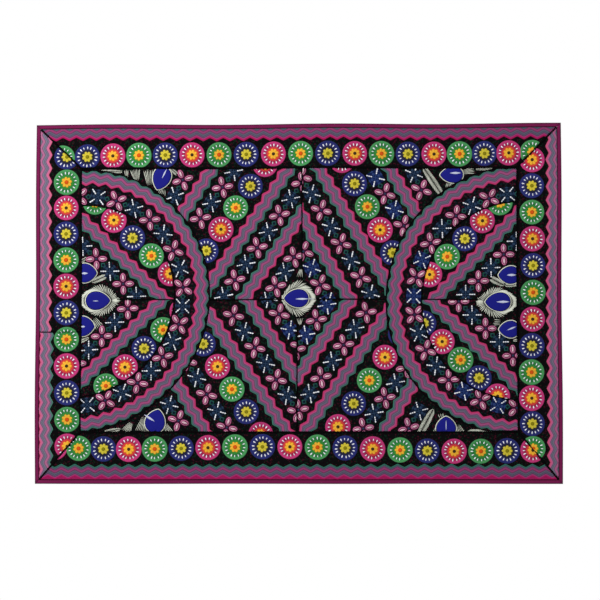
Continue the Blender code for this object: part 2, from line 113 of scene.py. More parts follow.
# Embroidery: how far it stays inside the seams, and how deep its rim and its cut parts are sunk
SEAM_MARGIN = 0.0011
SUNK = 0.0003
HIDDEN = SUNK + SEAM_SINK

# Cuts are made in rounds; a point slides along its band unless that runs almost along the seam
CUT_ROUNDS = 4
LEAST_FACING = 0.2
# Points this close become one
MERGE = 1e-7
# All small differences between stitches are drawn from here, in the order of sewing
CHANCE = np.random.default_rng(7)

# The photo's view: a long lens, face on
LENS = 85.0
SENSOR = 36.0
VIEW_WIDTH = 1.710
VIEW_X = 0.0034
VIEW_Z = -0.5016
FLOOR_Z = -1.93
FLOOR_SIDE = 3.0
FLOOR_FRONT = -1.5
FLOOR_BACK = 1.0
ROOM_LIGHT = 1.0
LAMP_PLACE = (-1.9, -2.0, 1.3)
LAMP_SIZE = 0.9
LAMP_POWER = 95.0
WHITE = (1.0, 1.0, 1.0, 1.0)
FLOOR_TONE = (0.8, 0.8, 0.8, 1.0)
FLOOR_ROUGHNESS = 0.9

# The two levels and the two sides: which way leads up and inwards, and where their lines lie
UP = {"upper": 1, "lower": -1}
INWARD = {"left": 1, "right": -1}
SIDE_X = {"left": FIELD_LEFT, "right": FIELD_RIGHT}
EDGE_Z = {"upper": FIELD_TOP, "lower": FIELD_BOTTOM}
END_Z = {"upper": 0.0, "lower": -HEIGHT}
SEAM_X = {"upper": UPPER_SEAM_X, "lower": LOWER_SEAM_X}

# The bindings: a corner of the hanging; the directions along and inwards; length
BINDINGS = {
    "binding_top": ((LEFT, 0), (1, 0), (0, -1), WIDTH),
    "binding_bottom": ((LEFT, -HEIGHT), (1, 0), (0, 1), WIDTH),
    "binding_left": ((LEFT, 0), (0, -1), (1, 0), HEIGHT),
    "binding_right": ((RIGHT, 0), (0, -1), (-1, 0), HEIGHT),
}


def hung(plan):
    """Where points of the plan hang: new x, how far they come forward, and new z.

    across = x / half width, down = -z / height;
    x grows by across * (FLARE * (2 down - 1) + an edge wave along z);
    z grows by (1 - down) * (TOP_TILT * across + a wave along x);
    forward = FOLD_DEPTH * smooth(down) * (1/2 + 1/2 sin of slanting folds).
    """
    x, z = plan[:, 0], plan[:, 1]
    across = x / RIGHT
    down = -z / HEIGHT
    edge_wave = EDGE_WAVE * np.sin(2 * np.pi * (z / EDGE_WAVE_LENGTH + EDGE_WAVE_START))
    top_wave = TOP_WAVE * np.sin(2 * np.pi * (x / TOP_WAVE_LENGTH + TOP_WAVE_START))
    fold = 0.5 + 0.5 * np.sin(2 * np.pi * (x / FOLD_LENGTH + FOLD_DRIFT * z))
    grown = down * down * (3 - 2 * down)
    new_x = x + across * (FLARE * (2 * down - 1) + edge_wave)
    new_z = z + (1 - down) * (TOP_TILT * across + top_wave)
    return new_x, FOLD_DEPTH * grown * fold, new_z


def in_space(plan, height):
    """Points of the plan, so high over the front of the cloth, where they hang."""
    new_x, forward, new_z = hung(plan)
    return np.column_stack((new_x, FRONT_PLANE - height - forward, new_z))


# Seams and cuts


def arch_radius(side, angle, offset):
    """Radius of a line along an arch, offset from its band, kept clear of the field's edges."""
    radius = ARCH_RADIUS[side] + ARCH_LEAN[side] * np.sin(2 * angle) + offset
    edge = np.where(angle > 0, FIELD_TOP - ARCH_Z, ARCH_Z - FIELD_BOTTOM)
    rise = np.abs(np.sin(angle))
    room = (edge - ARCH_TAIL) / np.maximum(rise, TAIL_RISE)
    return np.where(rise > TAIL_RISE, np.minimum(radius, room), radius)


def arch_line(side, offset, angles):
    """Points (centre + radius * (cos a, sin a)) along an arch, a = 0 towards the field's middle."""
    radius = arch_radius(side, angles, offset)
    return np.column_stack(
        (ARCH_X[side] + INWARD[side] * radius * np.cos(angles), ARCH_Z + radius * np.sin(angles))
    )


def line_cut(x, z, inward_x, inward_z):
    """A straight cut through a point, with the direction that leads inwards."""
    inward = np.array((inward_x, inward_z), float)
    return ("line", np.array((x, z)), inward / np.linalg.norm(inward))


def depth_inside(plan, cut):
    """How far points lie inside a cut, and the direction that leads inwards from it.

    An arch's cut keeps what lies outside its line with 1, and what lies inside it with -1.
    """
    if cut[0] == "line":
        _, point, inward = cut
        return (plan - point) @ inward, np.broadcast_to(inward, plan.shape)
    _, side, offset, keep = cut
    spoke = plan - (ARCH_X[side], ARCH_Z)
    distance = np.linalg.norm(spoke, axis=1)
    angle = np.arctan2(spoke[:, 1], INWARD[side] * spoke[:, 0])
    return keep * (distance - arch_radius(side, angle, offset)), keep * spoke / distance[:, None]


def pull_inside(plan, cuts, along=None):
    """Brings points past a seam back to it, squarely or along a direction, and tells which."""
    kept = plan.copy()
    outside = np.zeros(len(plan), bool)
    for _ in range(CUT_ROUNDS):
        for cut in cuts:
            depth, inward = depth_inside(kept, cut)
            past = depth < -MERGE
            if not past.any():
                continue
            way = inward[past]
            if along is not None:
                facing = (along[past] * way).sum(axis=1)
                slid = along[past] * np.sign(facing)[:, None]
                way = np.where(np.abs(facing)[:, None] > LEAST_FACING, slid, way)
            facing = (way * inward[past]).sum(axis=1)
            kept[past] -= way * (depth[past] / facing)[:, None]
            outside |= past
    return kept, outside


def seam_cuts():
    """The cuts that bound each patch, a little inside its seams."""
    margin = SEAM_MARGIN
    tuck = BINDING_WIDTH + SEAM_GAP
    cuts = {"middle": []}
    for side, inward in INWARD.items():
        upright = line_cut(SIDE_X[side] + inward * margin, 0, inward, 0)
        within = ("arch", side, ARCH_INNER_SEAM - margin, -1)
        cuts[f"arch_{side}"] = [
            upright,
            ("arch", side, ARCH_INNER_SEAM + margin, 1),
            ("arch", side, ARCH_OUTER_SEAM - margin, -1),
        ]
        cuts[f"sectors_{side}"] = [upright, within]
        for level, up in UP.items():
            level_seam = line_cut(0, LEVEL_SEAM_Z + up * margin, 0, up)
            cuts[f"sector_{level}_{side}"] = [upright, level_seam, within]
            cuts[f"quarter_{level}_{side}"] = [
                line_cut(0, EDGE_Z[level] - up * margin, 0, -up),
                level_seam,
                line_cut(SEAM_X[level] - inward * margin, 0, -inward, 0),
                ("arch", side, ARCH_OUTER_SEAM + margin, 1),
            ]
    for level, up in UP.items():
        end_z = END_Z[level]
        name = "border_top" if level == "upper" else "border_bottom"
        reach = abs(EDGE_Z[level] - end_z)
        cuts[name] = [
            line_cut(0, EDGE_Z[level] + up * margin, 0, up),
            line_cut(0, end_z - up * tuck, 0, -up),
        ]
        for side, inward in INWARD.items():
            run = abs(SIDE_X[side] + inward * RIGHT)
            mitre = (SIDE_X[side] + inward * margin, EDGE_Z[level])
            cuts[name].append(line_cut(*mitre, inward * reach, up * run))
            edges = [
                line_cut(SIDE_X[side] - inward * margin, 0, -inward, 0),
                line_cut(inward * (tuck - RIGHT), 0, inward, 0),
            ]
            border = cuts.setdefault(f"border_{side}", edges)
            mitre = (SIDE_X[side], EDGE_Z[level] - up * margin)
            border.append(line_cut(*mitre, -inward * reach, -up * run))
    for level, up in UP.items():
        seam = line_cut(0, LEFT_BORDER_SEAM_Z + up * SEAM_GAP, 0, up)
        cuts[f"border_left_{level}"] = cuts["border_left"] + [seam]
    return cuts


CUTS = seam_cuts()


# Meshes


def grid_triangles(rows, columns):
    """Triangles of a grid whose columns run on to the left of its rows, seen from the front."""
    index = np.arange(rows * columns).reshape(rows, columns)
    a, b, c, d = index[:-1, :-1], index[:-1, 1:], index[1:, 1:], index[1:, :-1]
    quads = np.stack((a, b, c, d), axis=-1).reshape(-1, 4)
    return np.vstack((quads[:, (0, 1, 2)], quads[:, (0, 2, 3)]))


def strip_triangles(first, second):
    """Triangles between two lines of equally many points."""
    a, b, c, d = first[:-1], first[1:], second[1:], second[:-1]
    return np.vstack((np.column_stack((a, b, c)), np.column_stack((a, c, d))))


def rim_of(rows, columns):
    """The points round a grid, back to the first one."""
    index = np.arange(rows * columns).reshape(rows, columns)
    return np.concatenate((index[0, :-1], index[:-1, -1], index[-1, :0:-1], index[::-1, 0]))


def welded(points, triangles):
    """Points that coincide become one, and triangles that thereby vanish are left out."""
    keys = np.round(points / MERGE).astype(np.int64)
    _, first, group = np.unique(keys, axis=0, return_index=True, return_inverse=True)
    triangles = group.reshape(-1)[triangles]
    whole = (
        (triangles[:, 0] != triangles[:, 1])
        & (triangles[:, 1] != triangles[:, 2])
        & (triangles[:, 2] != triangles[:, 0])
    )
    return first, triangles[whole]


def mesh_object(name, points, triangles, materials, uv=None, shade=None, behind=None):
    """A smooth mesh of triangles with a UV map and a shade for each point.

    The points marked as behind show the second material.
    """
    first, triangles = welded(points, triangles)
    mesh = bpy.data.meshes.new(name)
    mesh.vertices.add(len(first))
    mesh.loops.add(triangles.size)
    mesh.polygons.add(len(triangles))
    mesh.vertices.foreach_set("co", points[first].astype(np.float32).ravel())
    mesh.loops.foreach_set("vertex_index", triangles.astype(np.int32).ravel())
    mesh.polygons.foreach_set("loop_start", np.arange(0, triangles.size, 3, dtype=np.int32))
    mesh.update(calc_edges=True)
    mesh.polygons.foreach_set("use_smooth", np.ones(len(triangles), bool))
    if uv is not None:
        layer = mesh.uv_layers.new(name="stitches")
        layer.data.foreach_set("uv", uv[first][triangles.ravel()].astype(np.float32).ravel())
    if shade is not None:
        layer = mesh.attributes.new("shade", "FLOAT", "POINT")
        layer.data.foreach_set("value", shade[first].astype(np.float32))
    for material in materials:
        mesh.materials.append(material)
    if behind is not None:
        back = behind[first][triangles].all(axis=1).astype(np.int32)
        mesh.polygons.foreach_set("material_index", back)
    mesh.validate()
    mesh.update()
    piece = bpy.data.objects.new(name, mesh)
    bpy.context.scene.collection.objects.link(piece)
    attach(piece, "root")
    return piece


# Shells of one colour and one slot, gathered here until each pile is joined to one mesh
PILES = {}


def lay(pile, plan, height, uv, shade, triangles):
    """Adds shells to the pile of their colour and slot."""
    PILES.setdefault(pile, []).append((plan, height, uv, shade, triangles))


def shell(outline, rings, top, lift=0.0):
    """A closed shell over an outline round the origin.

    Ring i is outline * scale i at height lift + height i; the first ring lies below the cloth's face,
    a pole closes the top, and a flat fan closes the underside.
    """
    corners = len(outline)
    plan = np.vstack([outline * scale for scale, _ in rings] + [np.zeros((2, 2))])
    heights = [np.full(corners, height + lift) for _, height in rings]
    height = np.concatenate(heights + [np.array((top + lift, rings[0][1] + lift))])
    here = np.arange(corners)
    following = (here + 1) % corners
    top_pole = len(rings) * corners
    parts = []
    for ring in range(len(rings) - 1):
        outer, inner = ring * corners, (ring + 1) * corners
        parts.append(np.column_stack((outer + here, outer + following, inner + following)))
        parts.append(np.column_stack((outer + here, inner + following, inner + here)))
    inner = (len(rings) - 1) * corners
    parts.append(np.column_stack((inner + here, inner + following, np.full(corners, top_pole))))
    parts.append(np.column_stack((following, here, np.full(corners, top_pole + 1))))
    return plan, height, np.vstack(parts)


def spread(pile, form, cuts, middles, turns=0.0, sizes=1.0, shades=0.0, unit=1.0):
    """Copies of a shell: each is scaled, turned by an angle, moved to its middle and cut.

    The UV map holds the place in the unturned copy, in lengths of one unit.
    """
    plan, height, triangles = form
    middles = np.atleast_2d(middles)
    count, corners = len(middles), len(plan)
    turns = np.broadcast_to(turns, count)
    sizes = np.broadcast_to(sizes, (count, 2))
    cosine, sine = np.cos(turns)[:, None], np.sin(turns)[:, None]
    local_x, local_z = plan[:, 0] * sizes[:, :1], plan[:, 1] * sizes[:, 1:]
    placed = np.stack((local_x * cosine - local_z * sine, local_x * sine + local_z * cosine), -1)
    placed += middles[:, None]
    kept, outside = pull_inside(placed.reshape(-1, 2), cuts)
    kept, outside = kept.reshape(placed.shape), outside.reshape(count, corners)
    used = ~outside.all(axis=1)
    if not used.any():
        return
    away = (kept - middles[:, None]) / unit
    uv = np.stack(
        (away[..., 0] * cosine + away[..., 1] * sine, away[..., 1] * cosine - away[..., 0] * sine), -1
    )
    heights = np.where(outside, -HIDDEN, height[None])
    shade = np.broadcast_to(np.asarray(shades, float).reshape(-1, 1), (count, corners))
    total = used.sum()
    faces = triangles[None] + corners * np.arange(total)[:, None, None]
    lay(
        pile,
        kept[used].reshape(-1, 2),
        heights[used].ravel(),
        uv[used].reshape(-1, 2),
        shade[used].ravel(),
        faces.reshape(-1, 3),
    )


def sew_piles(threads):
    """Joins each pile of shells to one piece, and lists the pieces of each slot."""
    pieces = {}
    for (colour_name, slot_name), shells in sorted(PILES.items()):
        start = 0
        faces = []
        for plan, _, _, _, triangles in shells:
            faces.append(triangles + start)
            start += len(plan)
        plan, height, uv, shade = (np.concatenate([part[i] for part in shells]) for i in range(4))
        name = f"{colour_name}_on_{slot_name.removesuffix('_cloth')}"
        points = in_space(plan, height)
        piece = mesh_object(name, points, np.vstack(faces), [threads[colour_name]], uv, shade)
        pieces.setdefault(slot_name, []).append(piece)
    return pieces


# Outlines and forms of the stitches


def around(middle, turns, reach):
    """Points at a reach from a middle, one for each turn."""
    return middle + reach * np.column_stack((np.cos(turns), np.sin(turns)))


def even_turns(count):
    """Even angles of a whole turn."""
    return 2 * np.pi * np.arange(count) / count


def round_outline(corners):
    """A circle: x = cos t, z = sin t."""
    return around(0.0, even_turns(corners), 1.0)


def teardrop(corners, fullness):
    """x = cos t, z = sin t * sin(t / 2) ** fullness: a point at x = 1, round at x = -1."""
    angle = even_turns(corners)
    return np.column_stack((np.cos(angle), np.sin(angle) * np.abs(np.sin(angle / 2)) ** fullness))


def wedge(corners, fullness=0.7, swell=0.3):
    """x = cos t, z = sin t * (fullness + swell * cos t): thicker at x = 1."""
    angle = even_turns(corners)
    return np.column_stack((np.cos(angle), np.sin(angle) * (fullness + swell * np.cos(angle))))


def square_outline(near=0.82):
    """A square whose corners are cut off: one side at x = 1, turned by right angles."""
    side = np.array(((1.0, -near), (1.0, near)))
    sides = [side]
    for _ in range(3):
        side = side[:, ::-1] * (-1, 1)
        sides.append(side)
    return np.vstack(sides)


def lozenge_radius(angle, half_length, half_width, power=1.5):
    """|x / a| ** p + |z / b| ** p = 1, as a radius for each angle."""
    reach = np.abs(np.cos(angle) / half_length) ** power + np.abs(np.sin(angle) / half_width) ** power
    return reach ** (-1 / power)


def lozenge(corners, power):
    """A lozenge that reaches 1 along x and z; its sides are straight at power 1 and bulge above it."""
    return round_outline(corners) * lozenge_radius(even_turns(corners), 1, 1, power)[:, None]


EYE_FULLNESS = 0.45
EYE_OUTLINE = teardrop(30, EYE_FULLNESS)
# How high the stitches on the binding and the feathers over a seam lie
BINDING_FACE = BINDING_CLOTH + BINDING_ROOM
OVER_SEAM = 0.0012
# Columns: outline; rings, each a scale and a height; height of the top; lift of the whole
FORM_ROWS = {
    "disc": (
        round_outline(36),
        (
            (1.00, -SUNK),
            (0.985, 0.0007),
            (0.93, 0.0012),
            (0.85, 0.0010),
            (0.81, 0.0005),
            (0.60, 0.0005),
            (0.56, 0.0010),
            (0.30, 0.0011),
        ),
        0.0011,
    ),
    "dash": (wedge(9), ((1.0, 0.0), (0.75, 0.0007)), 0.0010, 0.0005),
    "lobe": (round_outline(10), ((1.0, 0.0), (0.75, 0.0005)), 0.0007, 0.0011),
    "heart": (round_outline(14), ((1.0, 0.0), (0.7, 0.0006)), 0.0008, 0.0013),
    "dot": (round_outline(12), ((1.0, 0.0), (0.6, 0.0005)), 0.0006, 0.0019),
    "flower_ground": (round_outline(16), ((1.0, -SUNK), (0.85, 0.0003)), 0.0004),
    "petal_edge": (round_outline(14), ((1.0, -SUNK), (0.95, 0.0005)), 0.0006),
    "petal": (round_outline(14), ((1.0, 0.0), (0.88, 0.0010)), 0.0012, 0.0002),
    "slit": (round_outline(12), ((1.0, 0.0), (0.95, 0.0004)), 0.0006, 0.0012),
    "slit_middle": (round_outline(10), ((1.0, 0.0), (0.9, 0.0004)), 0.0006, 0.0016),
    "flower_knot": (round_outline(8), ((1.0, 0.0), (0.8, 0.0004)), 0.0006, 0.0008),
    "tick": (round_outline(6), ((1.0, 0.0), (0.7, 0.0002)), 0.0003, 0.0021),
    "cross_ground": (square_outline(), ((1.0, -SUNK), (0.93, 0.0003), (0.5, 0.0004)), 0.0004),
    "arm": (round_outline(10), ((1.0, 0.0), (0.8, 0.0005)), 0.0006, 0.0003),
    "bead": (round_outline(9), ((1.0, 0.0), (0.75, 0.0007)), 0.0010, 0.0002),
    "square": (square_outline(), ((1.0, -SUNK), (0.92, 0.0005)), 0.0006),
    "square_hole": (square_outline(), ((1.0, 0.0), (0.9, 0.0002)), 0.0002, 0.0006),
    "barb": (wedge(9), ((1.0, -SUNK), (0.7, 0.0008)), 0.0011),
    "high_barb": (wedge(9), ((1.0, -SUNK), (0.7, 0.0008)), 0.0011, OVER_SEAM),
    "ring_ground": (round_outline(30), ((1.0, -SUNK), (0.96, 0.0002)), 0.0003),
    "eye_rim": (EYE_OUTLINE, ((1.0, -SUNK), (0.98, 0.0008)), 0.0008),
    "eye_line": (EYE_OUTLINE, ((1.0, 0.0), (0.98, 0.0005)), 0.0006, 0.0005),
    "eye": (EYE_OUTLINE, ((1.0, 0.0), (0.97, 0.0006), (0.75, 0.0011), (0.4, 0.0013)), 0.0013, 0.0006),
    "glint": (lozenge(12, 1.25), ((1.0, 0.0), (0.8, 0.0004)), 0.0006, 0.0019),
    "seam_stitch": (round_outline(8), ((1.0, -SEAM_SINK), (0.85, 0.0014)), 0.0018),
    "running_stitch": (round_outline(6), ((1.0, 0.0), (0.7, 0.0003)), 0.0004, BINDING_FACE - 0.0001),
    "mitre_stitch": (round_outline(8), ((1.0, 0.0), (0.8, 0.0004)), 0.0005, BINDING_FACE - 0.0002),
}
FORMS = {name: shell(*row) for name, row in FORM_ROWS.items()}


# Cloth patches


def ruled(inner, outer):
    """A grid (1 - t) * inner + t * outer between two lines, closer near both.

    t = EVEN_PART * s + EASED_PART * (1 - cos(pi s)) / 2, with s even from 0 to 1.
    """
    rows = max(LEAST_ROWS, int(np.linalg.norm(outer - inner, axis=1).max() / CELL) + 1)
    s = np.linspace(0, 1, rows)
    t = EVEN_PART * s + EASED_PART * (1 - np.cos(np.pi * s)) / 2
    return inner[None] * (1 - t[:, None, None]) + outer[None] * t[:, None, None]


def distance_to_line(plan, corners):
    """Distance from each point to the nearest side of an open line of corners."""
    nearest = np.full(len(plan), np.inf)
    for start, end in zip(corners[:-1], corners[1:]):
        side = end - start
        length = side @ side
        if length == 0:
            continue
        share = np.clip(((plan - start) @ side) / length, 0, 1)
        nearest = np.minimum(nearest, np.linalg.norm(plan - start - share[:, None] * side, axis=1))
    return nearest


def turned_area(corners):
    """Area inside a closed line of corners, negative where it runs clockwise: the shoelace formula."""
    x, z = corners[:, 0], corners[:, 1]
    return (x[:-1] * z[1:] - x[1:] * z[:-1]).sum() / 2


def cloth_patch(node, grid, slot_name, materials, open_edge=False):
    """A patch of cloth with two faces, from a grid of plan points.

    The front dips by SEAM_SINK * exp(-(d / SEAM_SOFT)^2) at distance d from a seam and puckers in
    small waves that fade over PUCKER_REACH; the back is thicker where its allowance is turned in.
    """
    rows, columns = grid.shape[:2]
    plan = grid.reshape(-1, 2)
    rim = rim_of(rows, columns)
    corners = plan[rim]
    if turned_area(corners) < 0:
        grid = grid[:, ::-1]
        plan = grid.reshape(-1, 2)
        corners = plan[rim]
    seams = corners
    if open_edge:
        seams = np.concatenate((grid[::-1, 0], grid[0, 1:], grid[1:, -1]))
    near = distance_to_line(plan, seams)
    phase_x, phase_z = 2 * np.pi * plan.T / PUCKER_LENGTH
    waves = np.sin(phase_x + PUCKER_SLANT * phase_z) * np.cos(phase_z)
    pucker = PUCKER * np.exp(-near / PUCKER_REACH) * waves
    front = pucker - SEAM_SINK * np.exp(-((near / SEAM_SOFT) ** 2))
    fading = 1 + ALLOWANCE_FADE - near / ALLOWANCE_WIDTH
    turned_in = np.clip(fading, 0, ALLOWANCE_FADE) / ALLOWANCE_FADE
    back = -CLOTH - ALLOWANCE * turned_in**2 * (3 - 2 * turned_in)
    points = np.vstack((in_space(plan, front), in_space(plan, back)))
    faces = grid_triangles(rows, columns)
    behind = np.repeat((False, True), len(plan))
    edge = strip_triangles(rim + len(plan), rim)
    triangles = np.vstack((faces, faces[:, ::-1] + len(plan), edge))
    uv = np.vstack((plan, plan))
    piece = mesh_object(f"{node}_sheet", points, triangles, materials, uv, None, behind)
    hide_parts(node)
    width, length = np.ptp(plan, axis=0)
    return slot_name, piece, (float(width), float(length)), float(abs(turned_area(corners)))


def bent_line(corners, count):
    """Even points along a line of corners, with every corner kept."""
    corners = np.array(corners, float)
    lengths = np.linalg.norm(np.diff(corners, axis=0), axis=1)
    shares = np.concatenate(([0], np.cumsum(lengths))) / lengths.sum()
    places = np.linspace(0, 1, count)
    for share in shares[1:-1]:
        places[np.argmin(np.abs(places - share))] = share
    return np.column_stack([np.interp(places, shares, corners[:, axis]) for axis in (0, 1)])


def arch_angles(side, offset, edge_x, count, level=None):
    """Even angles of an arch's line between the field's outer edge and itself or the level seam."""
    room = abs(edge_x - ARCH_X[side])
    high = math.acos(room / float(arch_radius(side, np.array(np.pi / 2), offset)))
    low = -math.acos(room / float(arch_radius(side, np.array(-np.pi / 2), offset)))
    if level is None:
        return np.linspace(low, high, count)
    up = UP[level]
    seam = LEVEL_SEAM_Z + up * SEAM_GAP / 2 - ARCH_Z
    start = math.asin(seam / (ARCH_RADIUS[side] + offset))
    return np.linspace(start, high if level == "upper" else low, count)


def field_grids():
    """Grids of the quarters, arches and sectors, each SEAM_GAP / 2 inside its seams."""
    gap = SEAM_GAP / 2
    grids = []
    for side, inward in INWARD.items():
        edge_x = SIDE_X[side] + inward * gap
        for level, up in UP.items():
            edge_z = EDGE_Z[level] - up * gap
            seam_x = SEAM_X[level] - inward * gap
            seam_z = LEVEL_SEAM_Z + up * gap
            count = int(QUARTER_RUN / CELL)
            offset = ARCH_OUTER_SEAM + gap
            curve = arch_line(side, offset, arch_angles(side, offset, edge_x, count, level))
            straight = bent_line([(seam_x, seam_z), (seam_x, edge_z), (edge_x, edge_z)], count)
            grids.append((f"quarter_{level}_{side}", ruled(curve, straight), "embroidered_cloth"))
            count = int(SECTOR_RUN / CELL)
            offset = ARCH_INNER_SEAM - gap
            curve = arch_line(side, offset, arch_angles(side, offset, edge_x, count, level))
            straight = bent_line([curve[0], (edge_x, seam_z), curve[-1]], count)
            grids.append((f"sector_{level}_{side}", ruled(curve, straight), "embroidered_cloth"))
        count = int(ARCH_RUN / CELL)
        lines = []
        for offset in (ARCH_INNER_SEAM + gap, ARCH_OUTER_SEAM - gap):
            lines.append(arch_line(side, offset, arch_angles(side, offset, edge_x, count)))
        grids.append((f"arch_{side}", ruled(*lines), "arch_cloth"))
    return grids


def border_ends(left, right, top, bottom):
    """Where the border strips begin and end on a rectangle, each clear of its neighbours."""
    gap = SEAM_GAP / 2
    return {
        "border_top": ((left + SEAM_GAP, top), (right - SEAM_GAP, top)),
        "border_bottom": ((right - SEAM_GAP, bottom), (left + SEAM_GAP, bottom)),
        "border_right": ((right, top - SEAM_GAP), (right, bottom + SEAM_GAP)),
        "border_left_upper": ((left, LEFT_BORDER_SEAM_Z + gap), (left, top - SEAM_GAP)),
        "border_left_lower": ((left, bottom + SEAM_GAP), (left, LEFT_BORDER_SEAM_Z - gap)),
    }


def border_grids():
    """Grids of the five border strips, from the field's edge out to inside the binding."""
    gap = SEAM_GAP / 2
    inner = border_ends(FIELD_LEFT - gap, FIELD_RIGHT + gap, FIELD_TOP + gap, FIELD_BOTTOM - gap)
    outer = border_ends(LEFT + EDGE_TUCK, RIGHT - EDGE_TUCK, -EDGE_TUCK, EDGE_TUCK - HEIGHT)
    grids = []
    for node in inner:
        count = int(np.linalg.norm(np.subtract(*outer[node])) / CELL) + 1
        lines = (np.linspace(*inner[node], count), np.linspace(*outer[node], count))
        grids.append((node, ruled(*lines), "border_cloth"))
    return grids


def folded_line(radius):
    """Reach and depth along the folded strip: a leg, half a circle so large round the bend, a leg."""
    bend = BINDING_DEPTH / 2
    turn = np.linspace(-np.pi / 2, np.pi / 2, BEND_POINTS)
    legs = np.linspace(BINDING_WIDTH, bend, LEG_POINTS, endpoint=False)
    back = np.column_stack((legs, np.full(LEG_POINTS, -bend - radius)))
    middle = np.column_stack((bend - radius * np.cos(turn), radius * np.sin(turn) - bend))
    front = np.column_stack((legs[::-1], np.full(LEG_POINTS, radius - bend)))
    return np.vstack((back, middle, front))


def binding_strip(node, corner, along, inward, length, material):
    """A binding: its folded section carried along an edge, and mitred at both corners.

    point = corner + along * (reach + gap + s * (length - 2 (reach + gap))) + inward * reach
    """
    outer = folded_line(BINDING_DEPTH / 2)
    inner = folded_line(BINDING_DEPTH / 2 - BINDING_CLOTH)[::-1]
    section = np.vstack((outer, inner))
    rows = int(length / BINDING_CELL)
    s = np.linspace(0, 1, rows)[:, None]
    reach, depth = section[:, 0][None], section[:, 1][None]
    gap = SEAM_GAP / 2 * math.sqrt(2)
    run = reach + gap + s * (length - 2 * (reach + gap))
    corner, along, inward = (np.array(v, float) for v in (corner, along, inward))
    plan = corner + along * run[..., None] + inward * (reach + 0 * run)[..., None]
    height = np.broadcast_to(FRONT_PLANE - depth, run.shape)
    points = in_space(plan.reshape(-1, 2), height.ravel())
    sides = section.shape[0]
    index = np.arange(rows * sides).reshape(rows, sides)
    looped = np.hstack((index, index[:, :1]))
    parts = []
    for row in range(rows - 1):
        parts.append(strip_triangles(looped[row], looped[row + 1]))
    half = len(outer)
    for row, flip in ((0, False), (rows - 1, True)):
        cap = strip_triangles(index[row, :half], index[row, :half - 1:-1])
        parts.append(cap if flip else cap[:, ::-1])
    triangles = np.vstack(parts)
    if along[0] * inward[1] - along[1] * inward[0] > 0:
        triangles = triangles[:, ::-1]
    uv = np.column_stack((run.ravel(), np.broadcast_to(reach, run.shape).ravel()))
    piece = mesh_object(f"{node}_sheet", points, triangles, [material], uv)
    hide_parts(node)
    laid_open = sum(np.linalg.norm(np.diff(line, axis=0), axis=1).sum() for line in (outer, inner)) / 2
    return "binding_cloth", piece, (float(laid_open), length), None


# Zigzag bands

BAND_WIDTH = 0.0385
BAND_SHIFT = -0.0020
BAND_RISE = 0.0008
BAND_COLUMNS = 25
BAND_RIBS = 8
RIB_RISE = 0.00022
PLAIN_COLUMNS = 5
SHOULDER = 0.125
ZIGZAG_DEPTH = 0.0092
ZIGZAG_LENGTH = 0.0382
ZIGZAG_STEPS = 12
ZIGZAG_ROUNDING = 0.985
BAND_OVERRUN = 1.25 * ZIGZAG_LENGTH
ARCH_BAND_REACH = math.radians(94)
# A flat sheet of painted shadow under each band: how much wider on each side, and its height
BAND_SHADOW_MARGIN = 0.0026
BAND_SHADOW_RISE = 0.0002
# Columns: middle line's first end x, z; other end x, z; 1 if the pink edge lies on the left of it
BORDER_BANDS = {
    "border_top": ((-0.760, -0.0265, 0.760, -0.0265, -1),),
    "border_bottom": ((-0.760, -0.9935, 0.760, -0.9935, -1),),
    "border_right": ((0.7253, 0.0, 0.7253, -HEIGHT, -1),),
    "border_left_upper": ((-0.7245, 0.0, -0.7245, LEFT_BORDER_SEAM_Z, 1),),
    "border_left_lower": ((-0.7225, LEFT_BORDER_SEAM_Z, -0.7225, -HEIGHT, -1),),
}
FIELD_BANDS = {
    "quarter_upper_left": (
        (-0.028, -0.124, -0.286, -0.500, -1),
        (0.009, -0.258, -0.157, -0.500, 1),
        (-0.249, -0.124, -0.324, -0.240, -1),
    ),
    "quarter_upper_right": (
        (0.057, -0.124, 0.281, -0.500, 1),
        (0.009, -0.260, 0.149, -0.500, 1),
        (0.260, -0.124, 0.330, -0.243, 1),
    ),
    "quarter_lower_left": (
        (-0.281, -0.500, -0.030, -0.878, 1),
        (-0.144, -0.500, -0.005, -0.718, 1),
        (-0.336, -0.753, -0.262, -0.878, 1),
    ),
    "quarter_lower_right": (
        (0.277, -0.500, 0.014, -0.878, -1),
        (0.152, -0.500, -0.005, -0.727, 1),
        (0.305, -0.776, 0.244, -0.878, 1),
    ),
    "sector_upper_left": ((-0.621, -0.266, -0.381, -0.500, 1),),
    "sector_lower_left": ((-0.393, -0.500, -0.621, -0.732, -1),),
    "sector_upper_right": ((0.623, -0.257, 0.383, -0.500, -1),),
    "sector_lower_right": ((0.378, -0.500, 0.623, -0.747, 1),),
}
# Painted light and shade on the border's bands, given as their shade: the lit sides lighter and duller,
# above 0; the top and bottom darker and purer, below 0
BAND_PAINTED_LIGHT = {
    "border_top": -2.0,
    "border_bottom": -2.0,
    "border_right": 2.2,
    "border_left_upper": 3.6,
    "border_left_lower": 3.2,
}
# Bands with a straight strip of magenta along their pink edge
MAGENTA_EDGED = ("border_bottom", "border_left_lower")
STRIP_WIDTH = 0.0200
STRIP_RISE = 0.0005
STRIP_OFFSET = 0.0205


